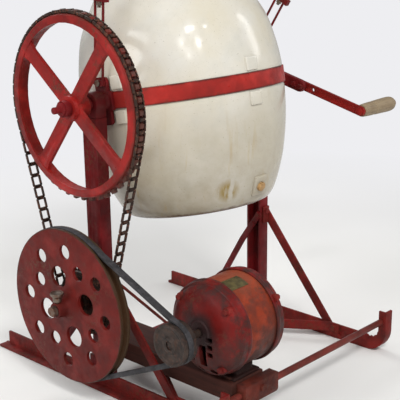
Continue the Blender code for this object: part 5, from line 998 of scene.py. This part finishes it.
class CHURN_OT_pulley(ChurnOperator):
    """The holed drive pulley on its countershaft"""

    bl_idname = "churn.pulley"
    bl_label = "Drive pulley"
    worn = (("countershaft", "steel", "bright_iron", "countershaft", 0.0008),)

    def profile(self, s):
        """Outer face and groove, the rim's inner side, the web and the hub, from the front."""
        front, outer, bore, hub = -s.pulley_front, s.pulley_radius, COUNTERSHAFT_BORE, PULLEY_HUB_RADIUS
        back, end = PULLEY_HUB_ENDS
        web = front + PULLEY_WEB
        # The rim's inner side follows the groove, so that little of it shows through the outer holes.
        inside = zip((-s.pulley_back, -s.belt_centre, web + 0.002, web), PULLEY_RIM_WALLS)
        return (
            [(front, outer), *groove(outer, s), (-s.pulley_back, outer)]
            + [(place, outer - wall) for place, wall in inside]
            + [(web, hub + 0.006), (web + 0.006, hub), (-back, hub), (-back, bore)]
            + [(-end, bore), (-end, hub - 0.001)]
            + [(front - reach, hub + rise) for reach, rise in PULLEY_HUB_FLARE]
        )

    def build(self, s):
        pulley = turned_x(
            "drilled_pulley", rounded(self.profile(s), 0.0016), s.pulley_steps, COUNTERSHAFT, "pulley",
            "pulley_iron", "countershaft", "drive_pulley",
        )
        holes = bmesh.new()
        near = Vector((-s.pulley_front - 0.01, 0, 0))
        far = Vector((PULLEY_WEB + 0.01 - s.pulley_front, 0, 0))
        lip = [Vector((depth - s.pulley_front, 0, 0)) for depth in HOLE_LIP_DEPTHS]
        wider, narrower = HOLE_LIP
        for quarter in (0, 90, 180, 270):
            for place, turn, size in PULLEY_HOLES:
                centre = COUNTERSHAFT + around_x(PULLEY_FIRST_HOLE + quarter + turn, place)
                rod(holes, centre + near, centre + far, size, 40)
                # A countersink gives each hole the rounded lip of a casting.
                rod(holes, centre + lip[0], centre + lip[1], size + wider, 40, size + narrower)
        screw = COUNTERSHAFT + Vector((-SET_SCREW_PLACE, 0, 0))
        rod(holes, screw, screw + Vector((0, 0, PULLEY_HUB_RADIUS + 0.004)), SET_SCREW_HOLE, 24)
        cut_with(pulley, holes)
        soften(pulley, 0.0008, 36)
        turned(
            "set_screw_turned", rounded(SET_SCREW, 0.0008, 3, False), 40, Matrix.Translation(screw), "steel",
            "bright_iron", "countershaft", "pulley_set_screw", False,
        )


class CHURN_OT_belt(ChurnOperator):
    """The V belt and the motor's pulley"""

    bl_idname = "churn.belt"
    bl_label = "Belt"
    worn = (("motor_shaft", "cast", "bright_iron", "motor", 0.0006),)

    def build(self, s):
        reach = MOTOR - COUNTERSHAFT
        facing = math.atan2(reach.z, reach.y)
        lean = math.acos((s.pulley_radius - s.motor_pulley_radius) / reach.length)
        half = s.belt_width / 2
        narrow = half - s.belt_depth * math.tan(BELT_FLANK)
        corners = [(-half, 0.0), (half, 0.0), (narrow, s.belt_depth), (-narrow, s.belt_depth)]
        section = rounded(corners, 0.0011, 2)
        bm = bmesh.new()
        rings = []
        for centre, radius, start, end, steps in (
            (COUNTERSHAFT, s.pulley_radius, facing + lean, facing + FULL_TURN - lean, 96),
            (MOTOR, s.motor_pulley_radius, facing - lean, facing + lean, 40),
        ):
            for i in range(steps + 1):
                turn = start + (end - start) * i / steps
                out = Vector((0, math.cos(turn), math.sin(turn)))
                top = centre + out * (radius + BELT_PROUD)
                ring = [top - out * deep + Vector((x - s.belt_centre, 0, 0)) for x, deep in section]
                rings.append([bm.verts.new(point) for point in ring])
        loops = [[bm.edges.new(pair) for pair in zip(ring, ring[1:] + ring[:1])] for ring in rings]
        for first, second in zip(loops, loops[1:] + loops[:1]):
            bmesh.ops.bridge_loops(bm, edges=first + second)
        finished("canvas_belt", bm, "canvas", "stand", ("v_belt",))
        front, back = (-place for place in MOTOR_PULLEY_ENDS)
        outer, bore, dish = s.motor_pulley_radius, MOTOR_SHAFT_BORE, front + MOTOR_PULLEY_DISH
        hub, flare = MOTOR_PULLEY_HUB
        wall, edge = (outer - inset for inset in MOTOR_PULLEY_RIM)
        profile = [(front, bore), (front, hub), (dish, flare), (dish, wall), (front, edge), (front, outer)]
        profile += [*groove(outer, s), (back, outer), (back, bore)]
        profile = rounded(profile, 0.001)
        turned_x("small_pulley", profile, 96, MOTOR, "cast", "pulley_iron", "motor", "motor_pulley")


class CHURN_OT_motor(ChurnOperator):
    """The electric motor with its base"""

    bl_idname = "churn.motor"
    bl_label = "Motor"
    worn = (
        ("motor_base", "base", "red_paint", "stand", 0.0020),
        ("nameplate", "plate", "brass_plate", "stand", 0.0003),
        ("motor_rotor", "steel", "bright_iron", "motor", 0.0008),
        ("motor_stator", "copper", "winding", "stand", 0.0010),
        ("stay_rod", "rod", "bright_iron", "stand", 0.0005),
    )

    def bell(self, node, face, outwards, s):
        """An end bell. Outwards is 1 at the front and -1 at the rear, where the depths run back."""
        shell = s.shell_radius + SEAT_GAP
        side = [(depth, s.bell_radius - inset) for depth, inset in BELL_RIM] + smoothed(BELL_DOME, 5)
        side += [*BELL_HUB, *BELL_INSIDE, (SEAT_GAP, shell), (-BELL_LAP, shell)]
        profile = rounded([(-(face + outwards * depth), radius) for depth, radius in side], CORNER)
        name = f"{node}_casting"
        piece = turned_x(name, profile, s.motor_steps, MOTOR, "bell", "red_paint", "stand", node)
        tools = bmesh.new()
        # The upper half is closed against drips. Below the hub lie upright openings and short louvres.
        middle = -(face + outwards * 0.036)
        for across, up, wide, high in BELL_OPENINGS:
            place = Matrix.Translation(MOTOR + Vector((middle, across, up)))
            block(tools, (BELL_OPENING_DEPTH, wide, high), place, 0.0022, 2)
        for degrees in BELL_DRAIN_TURNS:
            spot = MOTOR + around_x(degrees, BELL_DRAIN_PLACE)
            start, end = (spot - Vector((face + outwards * depth, 0, 0)) for depth in BELL_DRAIN_DEPTHS)
            rod(tools, start, end, BELL_DRAIN_RADIUS, 28)
        cut_with(piece, tools)
        soften(piece, 0.0009, 38)

    def bolts(self, name, face, outwards, turns, place, depths):
        """The bosses that the long through bolts pull together, each with a washer and a nut."""
        bm = bmesh.new()
        for degrees in turns:
            spot = MOTOR + around_x(degrees, place)
            start, end = (spot - Vector((face + outwards * depth, 0, 0)) for depth in depths)
            rod(bm, start, end, BOSS_RADII[0], 24, BOSS_RADII[1])
            for (radius, thick), steps in ((WASHER, 24), (NUT, 6)):
                rod(bm, end, end - Vector((outwards * thick, 0, 0)), radius, steps)
        bevelled(bm, [edge for edge in bm.edges if edge.calc_face_angle(0) > 1], 0.0007, 2)
        finished(name, bm, "bar", "stand")

    def build(self, s):
        front, back, outer = s.shell_front, s.shell_back, s.shell_radius
        inner = outer - 0.004
        tube = rounded([(-front, outer), (-back, outer), (-back, inner), (-front, inner)], 0.0006)
        steps = s.motor_steps
        turned_x("motor_shell_tube", tube, steps, MOTOR, "motor", "red_paint", "stand", "motor_shell")
        self.bell("motor_front_bell", front, 1, s)
        self.bell("motor_rear_bell", back, -1, s)
        self.bolts("front_bell_bolts", front, 1, *FRONT_BOLTS)
        self.bolts("rear_bell_bolts", back, -1, *REAR_BOLTS)


class CHURN_OT_stand(ChurnOperator):
    """The iron stand, its braces, runners and bearings, and the motor's board"""

    bl_idname = "churn.stand"
    bl_label = "Stand"
    worn = tuple(
        (f"{side}_{piece}", look, slot, "stand", width)
        for side in SIDES
        for piece, look, slot, width in (
            ("post", "dark", "dark_paint", 0.0012),
            ("runner", "bar", "red_paint", 0.0012),
            ("front_brace", "bar", "red_paint", 0.0010),
            ("rear_brace", "dark", "dark_paint", 0.0010),
            ("knee", "bar", "dark_paint", 0.0010),
            ("bearing", "dark", "dark_paint", 0.0014),
        )
    ) + (
        ("cross_bar", "dark", "dark_paint", "stand", 0.0012),
        ("countershaft_bracket", "dark", "dark_paint", "stand", 0.0014),
        ("front_rod", "rod", "bright_iron", "stand", 0.0005),
        ("motor_board", "board", "board_wood", "stand", 0.0030),
        ("board_clamp", "clamp", "red_paint", "stand", 0.0020),
    )


class CHURN_OT_crank(ChurnOperator):
    """The hand crank and its turned grip"""

    bl_idname = "churn.crank"
    bl_label = "Hand crank"

    def build(self, s):
        refined("crank_socket", "dark", "dark_paint", "churn", 0.0016)
        refined("crank_arm", "red", "red_paint", "churn", 0.0012)
        refined("handle_pin", "red", "bright_iron", "churn", 0.0008)
        outline = [(GRIP_START + GRIP_LENGTH * along, s.grip_radius * wide) for along, wide in GRIP_SHARES]
        ends = ((GRIP_START, HANDLE_PIN_BORE), (GRIP_START + GRIP_LENGTH, HANDLE_PIN_BORE))
        profile = [ends[0], *smoothed(outline, 4), ends[1]]
        turned_x("turned_grip", profile, 64, HANDLE, "grip", "handle_wood", "handle", "handle_grip")


class CHURN_OT_stage(ChurnOperator):
    """The floor, the lamps and the camera"""

    bl_idname = "churn.stage"
    bl_label = "Stage"

    def floor(self):
        bm = bmesh.new()
        bmesh.ops.create_grid(bm, x_segments=1, y_segments=1, size=9)
        floor = meshed("floor", bm)
        floor.location = (0, 0, -0.0004)
        finish = Finish("matt_floor_paint", {"Roughness": 0.9}, colours().floor)
        finish.lay("E5E4E1", (833, 2, 0.5), 0.3, 0.7)
        finish.tree.links.new(finish.tone, finish.shader.inputs["Base Color"])
        # Far from the machine the floor fades into the backdrop, so that no horizon shows.
        lit = finish.shader.outputs[0]
        away = finish.add("VectorMath", {0: finish.place}, operation="LENGTH").outputs["Value"]
        plain = finish.add("Emission", {"Color": linear(colours().backdrop)}).outputs[0]
        fade = finish.add("MixShader", {0: finish.mask(away, 0.75, 1.9), 1: lit, 2: plain}).outputs[0]
        seen = finish.add("LightPath").outputs["Is Camera Ray"]
        choice = finish.add("MixShader", {0: seen, 1: lit, 2: fade}).outputs[0]
        finish.tree.links.new(choice, finish.output.inputs["Surface"])
        floor.data.materials.append(finish.material)

    def world(self):
        """A soft sky for the light, and a plain backdrop for the camera."""
        world = bpy.data.worlds.new("studio")
        world.use_nodes = True
        tree = world.node_tree
        tree.nodes.clear()
        sky = add_node(tree, "Background", {"Color": linear("F2F3F5"), "Strength": 0.5}).outputs[0]
        wall = add_node(tree, "Background", {"Color": linear(colours().backdrop)}).outputs[0]
        seen = add_node(tree, "LightPath").outputs["Is Camera Ray"]
        blend = add_node(tree, "MixShader", {0: seen, 1: sky, 2: wall}).outputs[0]
        add_node(tree, "OutputWorld", {"Surface": blend})
        bpy.context.scene.world = world

    def lamp(self, name, place, target, size, power, shows=True):
        light = bpy.data.lights.new(name, "AREA")
        light.shape = "RECTANGLE"
        light.size, light.size_y = size
        light.energy = power
        lamp = placed(name, light)
        lamp.location = place
        lamp.rotation_euler = (Vector(target) - Vector(place)).to_track_quat("-Z", "Y").to_euler()
        lamp.visible_glossy = shows

    def camera(self, lens):
        camera = bpy.data.cameras.new("camera")
        camera.lens = lens
        camera.sensor_width = 36
        camera.shift_x, camera.shift_y = CAMERA_SHIFT
        viewer = placed("camera", camera)
        viewer.location = CAMERA_PLACE
        viewer.rotation_euler = (math.pi / 2 - CAMERA_DOWN, 0, -CAMERA_TURN)
        bpy.context.scene.camera = viewer

    def build(self, s):
        self.floor()
        self.world()
        # The large key light gives no reflections. Small panes beside it give the glaze its window lights.
        self.lamp("key", (-1.3, -2.2, 2.6), (0, 0, 0.45), (1.0, 0.7), 50, False)
        for number, (across, up, wide) in enumerate(PANES):
            place, size = (across, -2.2, up), (wide, wide * 0.6)
            self.lamp(f"pane_{number}", place, (0, 0, 0.75), size, 75 * wide * wide)
        for row in LAMPS:
            self.lamp(*row)
        self.camera(s.camera_lens)
        bpy.context.scene.view_settings.view_transform = "Standard"


OPERATORS = (
    CHURN_OT_jar, CHURN_OT_hoop, CHURN_OT_castings, CHURN_OT_lid, CHURN_OT_wheel, CHURN_OT_chain,
    CHURN_OT_pulley, CHURN_OT_belt, CHURN_OT_motor, CHURN_OT_stand, CHURN_OT_crank, CHURN_OT_stage,
)


class CHURN_PT_panel(bpy.types.Panel):
    """The churn's pieces in the sidebar"""

    bl_label = "Butter churn"
    bl_idname = "CHURN_PT_panel"
    bl_space_type = "VIEW_3D"
    bl_region_type = "UI"
    bl_category = "Churn"

    def draw(self, context):
        for kind in OPERATORS:
            self.layout.operator(kind.bl_idname)
        for group in (context.scene.churn_sizes, context.scene.churn_colours):
            for name in group.bl_rna.properties.keys():
                if name not in ("rna_type", "name"):
                    self.layout.prop(group, name)


CLASSES = (ChurnSizes, ChurnColours, *OPERATORS, CHURN_PT_panel)


def register():
    for kind in CLASSES:
        bpy.utils.register_class(kind)
    bpy.types.Scene.churn_sizes = bpy.props.PointerProperty(type=ChurnSizes)
    bpy.types.Scene.churn_colours = bpy.props.PointerProperty(type=ChurnColours)


def unregister():
    del bpy.types.Scene.churn_colours
    del bpy.types.Scene.churn_sizes
    for kind in reversed(CLASSES):
        bpy.utils.unregister_class(kind)


def main():
    register()
    make_materials()
    for kind in OPERATORS:
        getattr(bpy.ops.churn, kind.bl_idname.removeprefix("churn."))()


if __name__ == "__main__":
    main()
